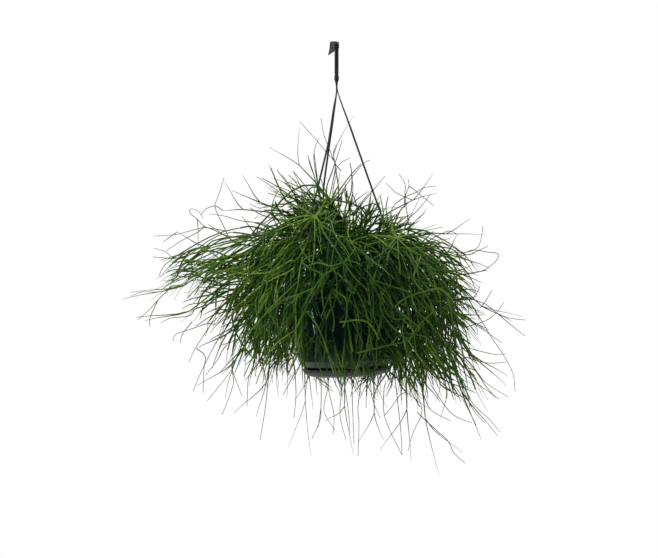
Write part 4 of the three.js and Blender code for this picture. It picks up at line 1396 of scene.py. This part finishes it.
def face_depth(x, y):
    """The depth at which the front of the crown shows at x, y in the picture."""
    near = HUB[1] - CROWN_DEEP
    for _ in range(4):
        aside = float(crown_place(sighted(x, y, near))[0][0] ** 2 - ((near - HUB[1]) / CROWN_DEEP) ** 2)
        near = HUB[1] - CROWN_DEEP * math.sqrt(max(FRONT_OUT**2 - aside, 0.02))
    return near


def grow_front(fine):
    """The long fresh stems that lie over the front."""
    for places in [pairs((*head, *row)) for head, rows in FRONT for row in rows]:
        run = [sighted(x, y, face_depth(x, y)) for x, y in places]
        k, _, close = foot_of(fine, places, face_depth(*places[0]) + 14, 0.6)
        fine.lead(k, run[1:] if close else run, fine.rng.uniform(0.78, 0.98), fine.rng.uniform(0.6, 1.0), 0.9)


# ---- Building it ----
FILL_SHARE = 1.0
LONG_STEMS, SHORT_STEMS, TWIGS = (round(wanted * FILL_SHARE) for wanted in (1500, 2500, 1500))
HAIRS = 700
spray_count = grow_sprays()
fine = Fine(11)
grow_front(fine)
grow_sprigs(fine, LIMBS, 1.08, (0.7, 1.0), 0.4)
fill_crown(fine, LONG_STEMS, (45, 112), 0.95, 0.1)
fill_crown(fine, SHORT_STEMS, (22, 74), 0.8, 0.2)
fill_crown(fine, TWIGS, (9, 30), 0.0, 0.1, (0.55, 0.8), -0.5, 1.0)
fill_extra(fine)
grow_hairs(fine, HAIRS)
grow_sprigs(fine, SPRIGS, 0.56, (0.05, 0.5), 0.5)
toner = np.random.default_rng(23)
for stem in stems:
    stem.setdefault("tone", float(clamped(toner.beta(2.2, 2.4), 0.02, 0.98)))

plastic = hanger_finish()
green = stem_finish()
for number in range(spray_count):
    node = f"spray_{number + 1:02d}"
    own = [stem for stem in stems if stem["spray"] == number]
    mesh = stem_mesh(node + "_stems", own, np.random.default_rng(900 + number))
    new_piece(node + "_stems", mesh, green, "stems", node)
build_pot(pot_finish())
build_saucer(saucer_finish())
soil_rng = np.random.default_rng(5)
build_soil(soil_finish())
build_grit(grit_finish())
build_hook(plastic)
for name, (azimuth, bend) in STRANDS.items():
    build_strand(name, azimuth, bend, plastic)

# ---- Stage: a pale floor well below, light from a bright room, a key light and two tall soft strips ----
FLOOR_RADIUS, FLOOR_Z = 2.2, -1.3
AIM_Z = -0.28  # the lights are turned towards this height in the middle of the object
ROOM_LIGHT = (0.04, 0.95)  # from low in front, and from high behind
SENSOR = 36.0
scene = bpy.context.scene
scene.view_settings.view_transform = "Standard"
scene.view_settings.look = "None"


def build_floor():
    inner = FLOOR_RADIUS - 0.01
    profile = [(0, 0), (inner, 0), (FLOOR_RADIUS, -0.01), (FLOOR_RADIUS, -0.03), (0, -0.03)]
    points, faces = turned([(r, FLOOR_Z + z) for r, z in profile], 96)
    floor = bpy.data.objects.new("floor", mesh_of("floor", points, faces))
    scene.collection.objects.link(floor)
    f = Finish("floor_paint", Roughness=0.9)
    colour = f.ramp(f.noise(6, 3), (0.3, (0.92, 0.92, 0.92)), (0.7, (0.95, 0.95, 0.95)))
    floor.data.materials.append(f.driven(Base_Color=colour))


def soft_box(name, azimuth, height, far, size, power):
    """An area light at an azimuth and height, turned towards the middle of the object."""
    light = bpy.data.lights.new(name, "AREA")
    light.shape, light.size, light.size_y, light.energy = "RECTANGLE", *size, power
    lamp = bpy.data.objects.new(name, light)
    lamp.location = (*around(azimuth, far), height)
    back = lamp.location.copy()
    back.z -= AIM_Z
    lamp.rotation_euler = back.to_track_quat("Z", "Y").to_euler()
    scene.collection.objects.link(lamp)


build_floor()
soft_box("key", -118, 1.2, 1.2, (0.8, 0.8), 34)
soft_box("left_strip", -160, -0.15, 1.1, (0.07, 1.1), 5.5)
soft_box("right_strip", -4, -0.15, 1.2, (0.1, 0.9), 4)

world = bpy.data.worlds.new("bright_room")
world.use_nodes = True
sky = world.node_tree.nodes["Background"]
sky.inputs["Color"].default_value = (1, 1, 1, 1)
walls = Nodes(world.node_tree)
way = walls.add("ShaderNodeTexCoord").outputs["Generated"]
height = walls.add("ShaderNodeVectorMath", {0: way, 1: (0.0, 0.7, 0.72)}, operation="DOT_PRODUCT")
fall = walls.spread(height.outputs["Value"], -0.6, 1.0, *ROOM_LIGHT)
sight = walls.add("ShaderNodeLightPath").outputs["Is Camera Ray"]
glow = walls.add("ShaderNodeMapRange", {"To Min": fall, "Value": sight})
world.node_tree.links.new(glow.outputs[0], sky.inputs["Strength"])
scene.world = world

lens = bpy.data.cameras.new("picture_camera")
lens.sensor_width, lens.lens = SENSOR, FOCAL * SENSOR / PICTURE_WIDTH
camera = bpy.data.objects.new("picture_camera", lens)
camera.location = tuple(c / 1000 for c in EYE)
camera.rotation_euler = (math.radians(90), 0, 0)
scene.collection.objects.link(camera)
scene.camera = camera
